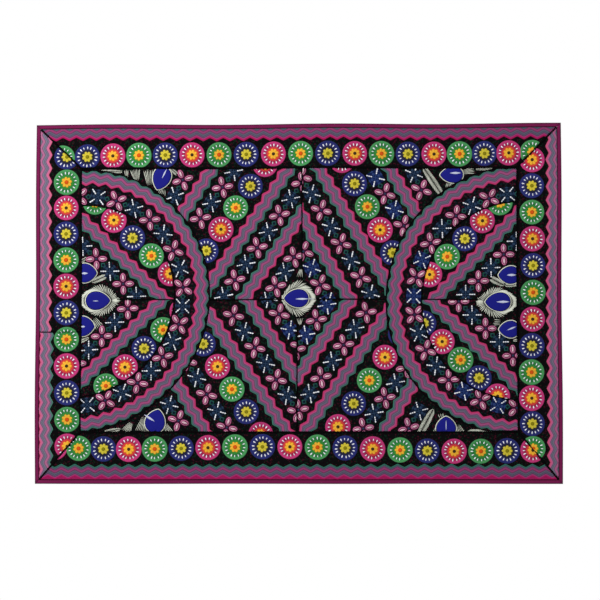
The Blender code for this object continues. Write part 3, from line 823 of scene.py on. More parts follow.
def swept_band(pile, cuts, path, along, width, depth, rise, columns=PLAIN_COLUMNS, rib=0.0, shade=0.0):
    """A raised band whose section swings from side to side as it goes.

    Its path is middle points, the direction aside at each, and their distances along it.
    point = middle + aside * (BAND_SHIFT + width * (t - 1/2) + swing), with t from 0 at the teal edge
    to 1 at the pink; swing is a zigzag of the distance with eased corners;
    height = rise * a flat arch with round shoulders + rib * sin(BAND_RIBS pi t) ** 2.
    """
    middle, aside, distance = path
    swing = np.arcsin(ZIGZAG_ROUNDING * np.sin(2 * np.pi * distance / ZIGZAG_LENGTH))
    swing *= depth / 2 / math.asin(ZIGZAG_ROUNDING)
    t = np.linspace(0, 1, columns)
    offset = BAND_SHIFT + width * (t - 0.5)[None] + swing[:, None]
    plan = middle[:, None] + aside[:, None] * offset[..., None]
    profile = rise * np.minimum(1, np.minimum(t, 1 - t) / SHOULDER) ** 0.5
    profile += rib * np.sin(np.pi * BAND_RIBS * t) ** 2
    profile[[0, -1]] = -SUNK
    rows = len(middle)
    way = None if along is None else np.broadcast_to(along, (rows * columns, 2))
    kept, outside = pull_inside(plan.reshape(-1, 2), cuts, way)
    height = np.where(outside, -HIDDEN, np.tile(profile, rows))
    uv = np.column_stack((np.repeat(distance, columns), np.tile(t, rows)))
    index = np.arange(rows * columns).reshape(rows, columns)
    parts = [grid_triangles(rows, columns), strip_triangles(index[:, 0], index[:, -1])]
    for row in (index[0, ::-1], index[-1]):
        parts.append(np.column_stack((np.full(columns - 2, row[0]), row[1:-1], row[2:])))
    triangles = np.vstack(parts)
    ahead = middle[1] - middle[0]
    if ahead[0] * aside[0, 1] - ahead[1] * aside[0, 0] > 0:
        triangles = triangles[:, ::-1]
    lay(pile, kept, height, uv, np.full(len(kept), shade), triangles)


def straight_line(first_x, first_z, last_x, last_z, pink_left):
    """Middle points of a straight band, the directions aside and along, and the distances."""
    first, last = np.array((first_x, first_z)), np.array((last_x, last_z))
    length = np.linalg.norm(last - first)
    along = (last - first) / length
    aside = np.array((-along[1], along[0])) * pink_left
    distance = np.arange(-BAND_OVERRUN, length + BAND_OVERRUN, ZIGZAG_LENGTH / ZIGZAG_STEPS)
    middle = first + along * distance[:, None]
    return (middle, np.broadcast_to(aside, middle.shape), distance), along


def sew_band(slot_name, cuts, path, along, depth, shade=0.0):
    """A band over a wider flat sheet of painted shadow, whose teeth show along both its edges."""
    shadowed_width = BAND_WIDTH + 2 * BAND_SHADOW_MARGIN
    swept_band(("fringe_thread", slot_name), cuts, path, along, shadowed_width, depth, BAND_SHADOW_RISE)
    pile = ("band_thread", slot_name)
    swept_band(pile, cuts, path, along, BAND_WIDTH, depth, BAND_RISE, BAND_COLUMNS, RIB_RISE, shade)


def sew_bands():
    """The zigzag bands, straight ones and those of the arches, and the strips of magenta."""
    for slot_name, table in (("embroidered_cloth", FIELD_BANDS), ("border_cloth", BORDER_BANDS)):
        for patch, rows in table.items():
            for *ends, pink_left in rows:
                path, along = straight_line(*ends, pink_left)
                # The border's bands take painted light and shade as their shade
                shade = BAND_PAINTED_LIGHT.get(patch, 0.0)
                sew_band(slot_name, CUTS[patch], path, along, ZIGZAG_DEPTH * pink_left, shade)
                if patch in MAGENTA_EDGED:
                    middle, aside, distance = path
                    beside = (middle + aside * STRIP_OFFSET, aside, distance)
                    pile = ("magenta_thread", slot_name)
                    swept_band(pile, CUTS[patch], beside, along, STRIP_WIDTH, 0.0, STRIP_RISE)
    for side in INWARD:
        radius = ARCH_RADIUS[side]
        count = int(2 * ARCH_BAND_REACH * radius * ZIGZAG_STEPS / ZIGZAG_LENGTH)
        angles = np.linspace(-ARCH_BAND_REACH, ARCH_BAND_REACH, count)
        aside = -np.column_stack((INWARD[side] * np.cos(angles), np.sin(angles)))
        path = (arch_line(side, 0.0, angles), aside, angles * radius)
        sew_band("arch_cloth", CUTS[f"arch_{side}"], path, None, -ZIGZAG_DEPTH)


# Medallions

# Columns: patch; slot; first middle x, z; last middle x, z; how many; bulge and skew of the spacing;
# the colours that take turns: g green, b blue, p pink
MEDALLION_ROWS = (
    ("border_top", "border_cloth", -0.675, -0.101, 0.667, -0.076, 19, 0.007, 0.021, "gbp"),
    ("border_bottom", "border_cloth", -0.693, -0.920, 0.664, -0.929, 19, -0.008, 0.019, "pgb"),
    ("border_left", "border_cloth", -0.664, -0.092, -0.659, -0.918, 12, -0.007, 0.003, "bgp"),
    ("border_right", "border_cloth", 0.668, -0.105, 0.663, -0.925, 12, 0.006, 0.010, "pbg"),
    ("quarter_upper_left", "embroidered_cloth", -0.096, -0.115, -0.264, -0.360, 5, 0, 0, "pbg"),
    ("quarter_upper_right", "embroidered_cloth", 0.123, -0.106, 0.268, -0.368, 5, 0, 0, "pbg"),
    ("quarter_lower_left", "embroidered_cloth", -0.272, -0.626, -0.108, -0.884, 5, 0, 0, "bpg"),
    ("quarter_lower_right", "embroidered_cloth", 0.290, -0.599, 0.111, -0.863, 5, 0, 0, "bpg"),
    ("sector_upper_left", "embroidered_cloth", -0.581, -0.223, -0.367, -0.426, 5, 0, 0, "gpb"),
    ("sector_lower_left", "embroidered_cloth", -0.333, -0.533, -0.548, -0.746, 5, 0, 0, "pgb"),
    ("sector_upper_right", "embroidered_cloth", 0.574, -0.226, 0.373, -0.429, 5, 0, 0, "gpb"),
    ("sector_lower_right", "embroidered_cloth", 0.356, -0.568, 0.564, -0.776, 5, 0, 0, "bpg"),
)
# Sideways sway of the border's rows: how far, how many waves in the row, where in a wave it starts
ROW_SWAYS = {
    "border_top": (0.008, 0.60, 0.13),
    "border_bottom": (0.005, 1.45, -0.46),
    "border_left": (0.002, 0.95, 0.34),
    "border_right": (0.003, 1.50, -0.40),
}
COLOUR_NAMES = {"g": "green", "b": "blue", "p": "pink"}
ROSETTE_NAMES = {"g": "golden_thread", "b": "lemon_thread", "p": "golden_thread"}
DOT_NAMES = {"g": "orange_thread", "b": "olive_thread", "p": "brown_thread"}
DASHES = 16
LOBES = 8
MEDALLION_RADIUS = 0.0363
MEDALLION_SIZES = (0.98, 1.02)
DASH_RADIUS = 0.0253
DASH_SIZE = (0.0042, 0.0024)
DASH_SIZES = (0.85, 1.12)
DASH_SWAY = 0.1
LOBE_RADIUS = 0.0100
LOBE_SIZE = (0.0055, 0.0044)
HEART_RADIUS = 0.0098
DOT_RADIUS = {"g": 0.0062, "b": 0.0056, "p": 0.0052}


def medallion_middles(first_x, first_z, last_x, last_z, count, bulge, skew, sway, waves, start):
    """middle = first + (last - first) * (t + bulge * u + skew * u * (2t - 1)), u = 4t(1 - t).

    It sways square to the row by sway * sin(2 pi (waves * t + start)).
    """
    first, run = np.array((first_x, first_z)), np.array((last_x - first_x, last_z - first_z))
    t = np.linspace(0, 1, count)
    hump = 4 * t * (1 - t)
    eased = t + bulge * hump + skew * hump * (2 * t - 1)
    aside = np.array((-run[1], run[0])) / np.linalg.norm(run)
    swing = sway * np.sin(2 * np.pi * (waves * t + start))
    return first + eased[:, None] * run + swing[:, None] * aside


def embroider_medallions():
    """Round medallions: a ring, wedge stitches on it, an inner disc, a rosette of lobes and a dot."""
    for patch, slot_name, *row, turns in MEDALLION_ROWS:
        cuts = CUTS[patch]
        sway = ROW_SWAYS.get(patch, (0, 0, 0))
        for number, middle in enumerate(medallion_middles(*row, *sway)):
            kind = turns[number % len(turns)]
            scale = CHANCE.uniform(*MEDALLION_SIZES)
            size = MEDALLION_RADIUS * scale
            turn = CHANCE.uniform(0, 2 * np.pi)
            shade = CHANCE.uniform(-1, 1)
            pile = (f"{COLOUR_NAMES[kind]}_medallions", slot_name)
            spread(pile, FORMS["disc"], cuts, middle, turn, size, shade, size)
            uneven = np.arange(DASHES) + CHANCE.uniform(-DASH_SWAY, DASH_SWAY, DASHES)
            angles = turn + 2 * np.pi * uneven / DASHES
            places = around(middle, angles, DASH_RADIUS * scale)
            sizes = np.array(DASH_SIZE) * scale * CHANCE.uniform(*DASH_SIZES, (DASHES, 1))
            shades = CHANCE.uniform(-1, 1, DASHES)
            pile = ("white_stitches", slot_name)
            spread(pile, FORMS["dash"], cuts, places, angles, sizes, shades)
            angles = turn + even_turns(LOBES)
            places = around(middle, angles, LOBE_RADIUS * scale)
            pile = (ROSETTE_NAMES[kind], slot_name)
            spread(pile, FORMS["lobe"], cuts, places, angles, np.array(LOBE_SIZE) * scale, shade)
            spread(pile, FORMS["heart"], cuts, middle, turn, HEART_RADIUS * scale, shade)
            pile = (DOT_NAMES[kind], slot_name)
            spread(pile, FORMS["dot"], cuts, middle, turn, DOT_RADIUS[kind], shade)


# Flowers and crosses

# Columns: patch; first middle x, z; step to the next x, z; how many; 1 if the first is a flower;
# the numbers of the crosses that are on blue
MOTIF_ROWS = (
    ("quarter_upper_left", 0.009, -0.168, -0.0319, -0.0460, 8, 1, ()),
    ("quarter_upper_right", 0.008, -0.152, 0.0281, -0.0476, 8, 1, ()),
    ("quarter_lower_left", -0.186, -0.545, 0.0305, -0.0458, 7, 1, ()),
    ("quarter_lower_right", 0.192, -0.538, -0.0322, -0.0461, 7, 1, ()),
    ("quarter_upper_left", -0.014, -0.380, -0.0259, -0.0417, 4, 1, ()),
    ("quarter_upper_right", 0.013, -0.364, 0.0242, -0.0476, 4, 1, (1, 3)),
    ("quarter_lower_left", -0.0871, -0.497, 0.0311, -0.0450, 4, 0, (2,)),
    ("quarter_lower_right", 0.080, -0.5164, -0.0300, -0.0426, 4, 0, (0, 2)),
    ("sector_upper_left", -0.616, -0.348, 0.0383, -0.0358, 5, 0, ()),
    ("sector_lower_left", -0.488, -0.526, -0.0366, -0.0393, 5, 1, ()),
    ("sector_upper_right", 0.621, -0.336, -0.0362, -0.0375, 5, 0, ()),
    ("sector_lower_right", 0.456, -0.506, 0.0383, -0.0387, 5, 1, ()),
    ("quarter_upper_left", -0.186, -0.134, -0.0314, -0.0445, 4, 0, ()),
    ("quarter_upper_right", 0.219, -0.154, 0.0269, -0.0454, 4, 0, (0, 2)),
    ("quarter_lower_left", -0.319, -0.675, 0.0287, -0.0474, 5, 1, ()),
    ("quarter_lower_right", 0.306, -0.694, -0.0307, -0.0435, 5, 1, ()),
    ("quarter_upper_left", -0.331, -0.158, -0.0227, -0.0467, 2, 1, ()),
    ("quarter_upper_right", 0.329, -0.142, 0.0207, -0.0461, 2, 0, ()),
    ("quarter_lower_left", -0.368, -0.800, 0.0262, -0.0453, 2, 0, ()),
    ("quarter_lower_right", 0.341, -0.818, -0.0290, -0.0493, 2, 0, ()),
)
# Columns: side; first angle; step in degrees; how many; offset from the arch's band;
# the numbers of the crosses that are on blue
ARCH_MOTIFS = (
    ("left", 89.7, -10.248, 18, -0.0502, ()),
    ("right", 93.06, -10.03, 19, -0.0535, (7, 9, 15, 17)),
)
DIAGONALS = np.pi * (0.25 + 0.5 * np.arange(4))
FLOWER_GROUND = 0.0150
FLOWER_KNOT = 0.0034
PETAL_REACH = 0.0182
PETAL_SWAY = 0.05
# A petal's layers, from below. Columns: thread; form; half length, half width
PETAL_LAYERS = (
    ("wine_thread", "petal_edge", 0.0146, 0.0102),
    ("petal_thread", "petal", 0.0124, 0.0079),
    ("crimson_thread", "slit", 0.0098, 0.0057),
    ("blush_thread", "slit_middle", 0.0080, 0.0029),
)
TICK_SHIFTS = (-0.0045, -0.0015, 0.0015, 0.0045)
TICK_SIZE = (0.0006, 0.0024)
# Threads of the ground and of the knots: on dark, on blue
CROSS_THREADS = (("dusk_thread", "navy_thread"), ("midnight_thread", "cobalt_thread"))
CROSS_GROUND = 0.0215
ARM_REACH = 0.0055
ARM_SIZE = (0.0072, 0.0019)
ARM_SWAY = 0.04
# Knots between the arms. Columns: reach; half length, half width
SIDE_KNOTS = ((0.0110, 0.0050, 0.0046), (0.0190, 0.0028, 0.0052))
SIDE_SHADE = -0.5
BEAD_REACHES = (0.0125, 0.0185, 0.0245)
BEAD_SIZE = (0.0033, 0.0021)
BEAD_SIZES = (0.82, 1.12)
SQUARE_SIZE = 0.0062
SQUARE_HOLE = 0.0034


def flower(cuts, slot_name, middle, turn):
    """Four petals, each an outlined oval with a slit that is laddered by small stitches."""
    turns = turn + DIAGONALS + CHANCE.uniform(-PETAL_SWAY, PETAL_SWAY, 4)
    shades = CHANCE.uniform(-1, 1, 4)
    places = around(middle, turns, PETAL_REACH)
    pile = ("wine_thread", slot_name)
    spread(pile, FORMS["flower_ground"], cuts, middle, 0, FLOWER_GROUND, 0)
    for thread_name, form, *size in PETAL_LAYERS:
        spread((thread_name, slot_name), FORMS[form], cuts, places, turns, size, shades)
    spread(("navy_thread", slot_name), FORMS["flower_knot"], cuts, middle, turn, FLOWER_KNOT, 0)
    for shift in TICK_SHIFTS:
        places = around(middle, turns, PETAL_REACH + shift)
        pile = ("crimson_thread", slot_name)
        spread(pile, FORMS["tick"], cuts, places, turns, TICK_SIZE, shades)


def cross(cuts, slot_name, middle, turn, on_blue):
    """Four beaded dashes on a dark or blue ground, with knots between them."""
    ground_name, knot_name = CROSS_THREADS[on_blue]
    turns = turn + DIAGONALS + CHANCE.uniform(-ARM_SWAY, ARM_SWAY, 4)
    pile = (ground_name, slot_name)
    spread(pile, FORMS["cross_ground"], cuts, middle, turn, CROSS_GROUND, CHANCE.uniform(-1, 1))
    pile = (knot_name, slot_name)
    spread(pile, FORMS["arm"], cuts, around(middle, turns, ARM_REACH), turns, ARM_SIZE, 0)
    side_turns = turns + np.pi / 4
    for reach, *size in SIDE_KNOTS:
        places = around(middle, side_turns, reach)
        spread(pile, FORMS["arm"], cuts, places, side_turns, size, SIDE_SHADE)
    pile = ("white_stitches", slot_name)
    for reach in BEAD_REACHES:
        places = around(middle, turns, reach)
        sizes = np.array(BEAD_SIZE) * CHANCE.uniform(*BEAD_SIZES, (4, 1))
        spread(pile, FORMS["bead"], cuts, places, turns, sizes, CHANCE.uniform(-2, 1, 4))


def teal_square(cuts, slot_name, middle, turn):
    """A small square on its corner, with a dark hole."""
    turn = turn + np.pi / 4
    pile = ("teal_thread", slot_name)
    spread(pile, FORMS["square"], cuts, middle, turn, SQUARE_SIZE, CHANCE.uniform(-1, 1))
    spread(("dusk_thread", slot_name), FORMS["square_hole"], cuts, middle, turn, SQUARE_HOLE, 0)


def embroider_strip(cuts, slot_name, middles, turns, first_is_flower, on_blue):
    """Flowers and crosses that take turns, with a small square between them."""
    for number, (middle, turn) in enumerate(zip(middles, turns)):
        if (number + first_is_flower) % 2:
            flower(cuts, slot_name, middle, turn)
        else:
            cross(cuts, slot_name, middle, turn, number in on_blue)
    for middle, turn in zip((middles[:-1] + middles[1:]) / 2, (turns[:-1] + turns[1:]) / 2):
        teal_square(cuts, slot_name, middle, turn)


def embroider_strips():
    """The rows of flowers and crosses: straight ones, and those that follow the arches."""
    for patch, x, z, step_x, step_z, count, first_is_flower, on_blue in MOTIF_ROWS:
        middles = np.array((x, z)) + np.arange(count)[:, None] * np.array((step_x, step_z))
        turns = np.full(count, math.atan2(step_z, step_x))
        embroider_strip(CUTS[patch], "embroidered_cloth", middles, turns, first_is_flower, on_blue)
    for side, first, step, count, offset, on_blue in ARCH_MOTIFS:
        angles = np.radians(first + step * np.arange(count))
        middles = arch_line(side, offset, angles)
        turns = np.arctan2(np.cos(angles), -INWARD[side] * np.sin(angles))
        embroider_strip(CUTS[f"arch_{side}"], "arch_cloth", middles, turns, 1, on_blue)


# Feather eyes

# Columns: cuts; middle x, z; half length, half width; turn of its point in degrees
EYES = (
    ("middle", -0.007, -0.497, 0.0345, 0.0262, 180),
    ("sectors_left", -0.573, -0.503, 0.0345, 0.0268, 0),
    ("sectors_right", 0.568, -0.508, 0.0362, 0.0271, 180),
    ("sectors_left", -0.606, -0.424, 0.0290, 0.0276, 0),
    ("sectors_left", -0.611, -0.576, 0.0285, 0.0285, 0),
    ("sectors_right", 0.600, -0.432, 0.0299, 0.0256, 180),
    ("sectors_right", 0.599, -0.586, 0.0285, 0.0242, 180),
    ("quarter_upper_left", -0.392, -0.154, 0.0336, 0.0256, -110),
    ("quarter_upper_right", 0.436, -0.145, 0.0322, 0.0228, 180),
    ("quarter_lower_left", -0.407, -0.846, 0.0330, 0.0285, 75),
    ("quarter_lower_right", 0.418, -0.862, 0.0279, 0.0285, 90),
)
# Round the first three eyes. Columns: middle x, z; half length and half width
FEATHER_RINGS = (
    (0.0005, -0.4975, 0.0500, 0.0560),
    (-0.568, -0.5030, 0.0590, 0.0490),
    (0.565, -0.5100, 0.0610, 0.0475),
)
# Columns: cuts; thick end x, z; thin end x, z; half width
GLINTS = (
    ("middle", -0.010, -0.499, 0.028, -0.499, 0.0030),
    ("middle", 0.018, -0.499, 0.047, -0.499, 0.0011),
    ("sectors_left", -0.588, -0.504, -0.570, -0.504, 0.0014),
    ("sectors_right", 0.563, -0.508, 0.602, -0.508, 0.0036),
    ("sectors_left", -0.621, -0.425, -0.601, -0.425, 0.0034),
    ("sectors_left", -0.621, -0.577, -0.608, -0.577, 0.0030),
    ("sectors_right", 0.593, -0.432, 0.621, -0.432, 0.0036),
    ("sectors_right", 0.593, -0.589, 0.620, -0.578, 0.0024),
    ("quarter_upper_left", -0.3763, -0.1262, -0.3906, -0.1555, 0.0022),
    ("quarter_upper_right", 0.430, -0.140, 0.464, -0.140, 0.0034),
    ("quarter_lower_left", -0.408, -0.848, -0.440, -0.827, 0.0034),
    ("quarter_lower_right", 0.418, -0.843, 0.418, -0.874, 0.0014),
)
# Columns: cuts; root x, z; tip x, z; width at the root, width at the tip
FANS = (
    ("quarter_upper_left", -0.491, -0.153, -0.493, -0.129, 0.005, 0.010),
    ("quarter_upper_left", -0.462, -0.163, -0.468, -0.127, 0.010, 0.028),
    ("quarter_upper_left", -0.425, -0.176, -0.431, -0.127, 0.012, 0.026),
    ("quarter_upper_left", -0.387, -0.184, -0.392, -0.201, 0.012, 0.022),
    ("quarter_upper_right", 0.466, -0.138, 0.504, -0.131, 0.008, 0.020),
    ("quarter_upper_right", 0.428, -0.166, 0.430, -0.181, 0.012, 0.020),
    ("quarter_lower_left", -0.475, -0.849, -0.492, -0.881, 0.008, 0.028),
    ("quarter_lower_left", -0.437, -0.832, -0.450, -0.881, 0.012, 0.032),
    ("quarter_lower_left", -0.380, -0.854, -0.366, -0.881, 0.008, 0.020),
    ("quarter_lower_right", 0.393, -0.864, 0.383, -0.891, 0.008, 0.016),
    ("quarter_lower_right", 0.406, -0.840, 0.402, -0.824, 0.008, 0.014),
    ("quarter_lower_right", 0.449, -0.857, 0.462, -0.890, 0.012, 0.026),
    ("sectors_left", -0.586, -0.553, -0.566, -0.582, 0.012, 0.022),
    ("sectors_right", 0.576, -0.566, 0.554, -0.566, 0.012, 0.016),
    ("middle", 0.002, -0.438, 0.006, -0.413, 0.017, 0.004),
    ("middle", 0.003, -0.553, 0.003, -0.574, 0.017, 0.004),
)
# Columns: cuts; quill's root x, z; tip x, z; width
LEAVES = (
    ("quarter_upper_left", -0.566, -0.134, -0.505, -0.136, 0.011),
    ("quarter_upper_left", -0.366, -0.125, -0.349, -0.141, 0.012),
    ("quarter_upper_right", 0.355, -0.122, 0.407, -0.200, 0.023),
    ("quarter_upper_right", 0.506, -0.130, 0.553, -0.129, 0.008),
    ("quarter_lower_left", -0.505, -0.869, -0.548, -0.877, 0.013),
    ("quarter_lower_right", 0.383, -0.811, 0.341, -0.889, 0.024),
    ("quarter_lower_right", 0.479, -0.876, 0.561, -0.882, 0.019),
    ("sectors_left", -0.592, -0.451, -0.555, -0.435, 0.018),
    ("sectors_left", -0.597, -0.608, -0.621, -0.620, 0.011),
    ("sectors_left", -0.604, -0.379, -0.621, -0.392, 0.011),
    ("sectors_right", 0.588, -0.462, 0.552, -0.443, 0.020),
    ("sectors_right", 0.588, -0.462, 0.621, -0.459, 0.013),
    ("sectors_right", 0.610, -0.618, 0.623, -0.618, 0.009),
)
EYE_SLOT = "embroidered_cloth"
EYE_SWELL = 1.12
EYE_RIM = 0.0034
EYE_LINE = 0.0012
BARB_PITCH = 0.0043
BARB_WIDTH = 0.0024
BARB_WIDTHS = (0.8, 1.2)
BARB_SHADES = (-1.5, 1)
RING_BARBS = 84
RING_REACHES = (0.93, 1.03)
RING_BARB_WIDTH = 0.0034
RING_SLANT = 0.75
RING_GAP = 0.0030
RING_GROUND = 0.92
FAN_BARBS = 3
FAN_UNEVEN = (-0.0025, 0.0010)
LEAF_BARBS = 4
LEAF_SLANT = math.radians(30)
LEAF_START = 0.22
LEAF_RUN = 0.70
LEAF_FULLNESS = 0.6


def lay_barbs(cuts, roots, tips, width, form="barb"):
    """Slim stitches from roots to tips, fuller towards the tips."""
    run = tips - roots
    length = np.linalg.norm(run, axis=1)
    turns = np.arctan2(run[:, 1], run[:, 0])
    sizes = np.column_stack((length / 2, np.full(len(length), width / 2)))
    sizes[:, 1] *= CHANCE.uniform(*BARB_WIDTHS, len(length))
    shades = CHANCE.uniform(*BARB_SHADES, len(length))
    spread(("cream_thread", EYE_SLOT), FORMS[form], cuts, (roots + tips) / 2, turns, sizes, shades)


def feather_ring(ring, eye):
    """Long barbs over a dark ground, from an eye's outline out to a lozenge.

    They flow on both sides from the eye's point to its other end:
    tip angle = root angle + RING_SLANT * sin(root angle from the point).
    """
    ring_x, ring_z, *outer_size = ring
    cut_name, x, z, half_length, half_width, point = eye
    cuts = CUTS[cut_name]
    middle = np.array((ring_x, ring_z))
    size = np.array(outer_size) * RING_GROUND
    spread(("black_thread", EYE_SLOT), FORMS["ring_ground"], cuts, middle, 0, size, 0)
    turn = math.radians(point)
    cosine, sine = math.cos(turn), math.sin(turn)
    size = (half_length + RING_GAP, half_width * EYE_SWELL + RING_GAP)
    outline = teardrop(RING_BARBS, EYE_FULLNESS) * size
    roots = (x, z) + outline @ np.array(((cosine, sine), (-sine, cosine)))
    angles = np.arctan2(roots[:, 1] - ring_z, roots[:, 0] - ring_x)
    tip_angles = angles + RING_SLANT * np.sin(angles - turn)
    outer = lozenge_radius(tip_angles, *outer_size) * CHANCE.uniform(*RING_REACHES, RING_BARBS)
    lay_barbs(cuts, roots, around(middle, tip_angles, outer[:, None]), RING_BARB_WIDTH)


def line_of(root_x, root_z, tip_x, tip_z):
    """Root, tip, the directions along and aside, and the length."""
    root, tip = np.array((root_x, root_z)), np.array((tip_x, tip_z))
    length = np.linalg.norm(tip - root)
    along = (tip - root) / length
    return root, tip, along, np.array((-along[1], along[0])), length


def fan(cuts, ends, root_width, tip_width):
    """Barbs side by side, spreading from a short line at the root to one at the tip.

    Those round the middle eye have no cuts and lie over the level seam.
    """
    root, tip, along, aside, _ = line_of(*ends)
    count = max(FAN_BARBS, round(max(root_width, tip_width) / BARB_PITCH))
    t = np.linspace(-0.5, 0.5, count)[:, None]
    uneven = along * CHANCE.uniform(*FAN_UNEVEN, (count, 1))
    tips = tip + aside * t * tip_width + uneven
    lay_barbs(cuts, root + aside * t * root_width, tips, BARB_WIDTH, "barb" if cuts else "high_barb")


def leaf(cuts, ends, width):
    """Barbs that slant out on both sides of a quill: their length swells and narrows along it.

    Their reach aside = width / 2 * sin(pi (LEAF_START + LEAF_RUN t)) ** LEAF_FULLNESS.
    """
    root, _, along, aside, length = line_of(*ends)
    count = max(LEAF_BARBS, int(length / BARB_PITCH))
    t = np.arange(count) / count
    reach = width / 2 * np.sin(np.pi * (LEAF_START + LEAF_RUN * t)) ** LEAF_FULLNESS
    quill = root + along * (t * length)[:, None]
    for side in (1, -1):
        out = aside * side * reach[:, None] + along * (reach / math.tan(LEAF_SLANT))[:, None]
        lay_barbs(cuts, quill, quill + out, BARB_WIDTH)


def embroider_eyes():
    """Blue eyes pointed at one end, with a cream outline, a white glint and feathers round them."""
    for ring, eye in zip(FEATHER_RINGS, EYES):
        feather_ring(ring, eye)
    for cut_name, *ends, root_width, tip_width in FANS:
        fan(CUTS[cut_name], ends, root_width, tip_width)
    for cut_name, *ends, width in LEAVES:
        leaf(CUTS[cut_name], ends, width)
    stretch = np.array((1.0, EYE_SWELL))
    for cut_name, x, z, half_length, half_width, point in EYES:
        cuts = CUTS[cut_name]
        middle, size = np.array((x, z)), np.array((half_length, half_width))
        for thread_name, form, rim in (
            ("cream_thread", "eye_rim", EYE_RIM),
            ("black_thread", "eye_line", EYE_LINE),
            ("royal_blue_thread", "eye", 0.0),
        ):
            grown = (size + rim) * stretch
            spread((thread_name, EYE_SLOT), FORMS[form], cuts, middle, math.radians(point), grown, 0)
    for cut_name, x, z, tip_x, tip_z, half_width in GLINTS:
        run = np.array((tip_x - x, tip_z - z))
        turn = math.atan2(run[1], run[0])
        middle = np.array((x, z)) + run / 2
        size = (np.linalg.norm(run) / 2, half_width)
        spread(("pale_thread", EYE_SLOT), FORMS["glint"], CUTS[cut_name], middle, turn, size, 0.5)


# Seams and binding stitches

SEAM_PITCH = 0.0052
SEAM_STITCH = 0.62
SEAM_WIDTHS = (0.8, 1.2)
LEAST_STITCHES = 3
# Widths of the seams
FIELD_EDGE_WIDTH = 0.0062
MITRE_WIDTH = 0.0075
PIECED_WIDTH = 0.0022
UPRIGHT_WIDTH = 0.0040
LEVEL_WIDTH = 0.0032
ARCH_WIDTHS = ((ARCH_OUTER_SEAM, 0.0046), (ARCH_INNER_SEAM, 0.0036))
ARCH_SEAM_POINTS = 120
# Where the feathers round the eyes begin to cover a seam: heights, and distances to the side
FEATHERS_TOP = LEVEL_SEAM_Z + 0.052
FEATHERS_BOTTOM = LEVEL_SEAM_Z - 0.050
FEATHERS_ASIDE = 0.042
ARCH_FEATHERS = 0.110
# Stitches of the binding
RUNNING_PITCH = 0.0062
RUNNING_SIZE = (0.0019, 0.00045)
RUNNING_REACH = BINDING_WIDTH - 0.0022
MITRE_STITCH = (0.98 * BINDING_WIDTH / math.sqrt(2), 0.0008)


def along_line(line, lengths, places):
    """The points of a line of corners at some lengths from its start."""
    return np.column_stack([np.interp(places, lengths, line[:, axis]) for axis in (0, 1)])


def seam_stitches(slot_name, line, width):
    """Black stitches along a seam: a bead at each step, turned as the line runs there."""
    line = np.array(line, float)
    lengths = np.concatenate(([0], np.cumsum(np.linalg.norm(np.diff(line, axis=0), axis=1))))
    count = max(LEAST_STITCHES, int(lengths[-1] / SEAM_PITCH))
    places = (np.arange(count) + 0.5) * lengths[-1] / count
    middles = along_line(line, lengths, places)
    ahead = along_line(line, lengths, places + SEAM_PITCH / 4)
    run = ahead - along_line(line, lengths, places - SEAM_PITCH / 4)
    turns = np.arctan2(run[:, 1], run[:, 0])
    widths = width / 2 * CHANCE.uniform(*SEAM_WIDTHS, count)
    sizes = np.column_stack((np.full(count, SEAM_PITCH * SEAM_STITCH), widths))
    pile = ("black_thread", slot_name)
    spread(pile, FORMS["seam_stitch"], [], middles, turns, sizes, CHANCE.uniform(-1, 1, count))


def sew_seams():
    """The seams of the border, of the quarters and of the arches."""
    left, right, top, bottom = FIELD_LEFT, FIELD_RIGHT, FIELD_TOP, FIELD_BOTTOM
    corners = ((left, top), (right, top), (right, bottom), (left, bottom), (left, top))
    for ends in zip(corners[:-1], corners[1:]):
        seam_stitches("border_cloth", ends, FIELD_EDGE_WIDTH)
    reach = BINDING_WIDTH + SEAM_MARGIN
    for start, end in (
        ((left, top), (LEFT + reach, -reach)),
        ((right, top), (RIGHT - reach, -reach)),
        ((left, bottom), (LEFT + reach, reach - HEIGHT)),
        ((right, bottom), (RIGHT - reach, reach - HEIGHT)),
    ):
        seam_stitches("border_cloth", (start, end), MITRE_WIDTH)
    z = LEFT_BORDER_SEAM_Z
    seam_stitches("border_cloth", ((LEFT + reach, z), (left, z)), PIECED_WIDTH)
    for x, start_z, end_z in ((UPPER_SEAM_X, top, FEATHERS_TOP), (LOWER_SEAM_X, FEATHERS_BOTTOM, bottom)):
        seam_stitches("embroidered_cloth", ((x, start_z), (x, end_z)), UPRIGHT_WIDTH)
    z = LEVEL_SEAM_Z
    for side, inward in INWARD.items():
        for offset, width in ARCH_WIDTHS:
            angles = arch_angles(side, offset, SIDE_X[side], ARCH_SEAM_POINTS)
            seam_stitches("arch_cloth", arch_line(side, offset, angles), width)
        for offset, end_x in (
            (ARCH_OUTER_SEAM, -inward * FEATHERS_ASIDE),
            (ARCH_INNER_SEAM, ARCH_X[side] + inward * ARCH_FEATHERS),
        ):
            start_x = ARCH_X[side] + inward * (ARCH_RADIUS[side] + offset)
            seam_stitches("embroidered_cloth", ((start_x, z), (end_x, z)), LEVEL_WIDTH)


def stitch_binding():
    """Short running stitches along the inner edge of the binding, and one over each mitre."""
    pile = ("plum_thread", "binding_cloth")
    for corner, along, inward, length in BINDINGS.values():
        count = int((length - 4 * BINDING_WIDTH) / RUNNING_PITCH)
        run = np.linspace(2 * BINDING_WIDTH, length - 2 * BINDING_WIDTH, count)[:, None]
        turn = math.atan2(along[1], along[0])
        middles = np.array(corner) + np.array(along) * run + np.array(inward) * RUNNING_REACH
        spread(pile, FORMS["running_stitch"], [], middles, turn, RUNNING_SIZE, 0)
    half = BINDING_WIDTH / 2
    for inward in INWARD.values():
        for level, up in UP.items():
            middle = (inward * (half - RIGHT), END_Z[level] - up * half)
            turn = math.atan2(-up, inward)
            spread(pile, FORMS["mitre_stitch"], [], middle, turn, MITRE_STITCH, 0)


# Materials

# How much brighter than its colour a thing looks in this light
LIGHT = 1.50
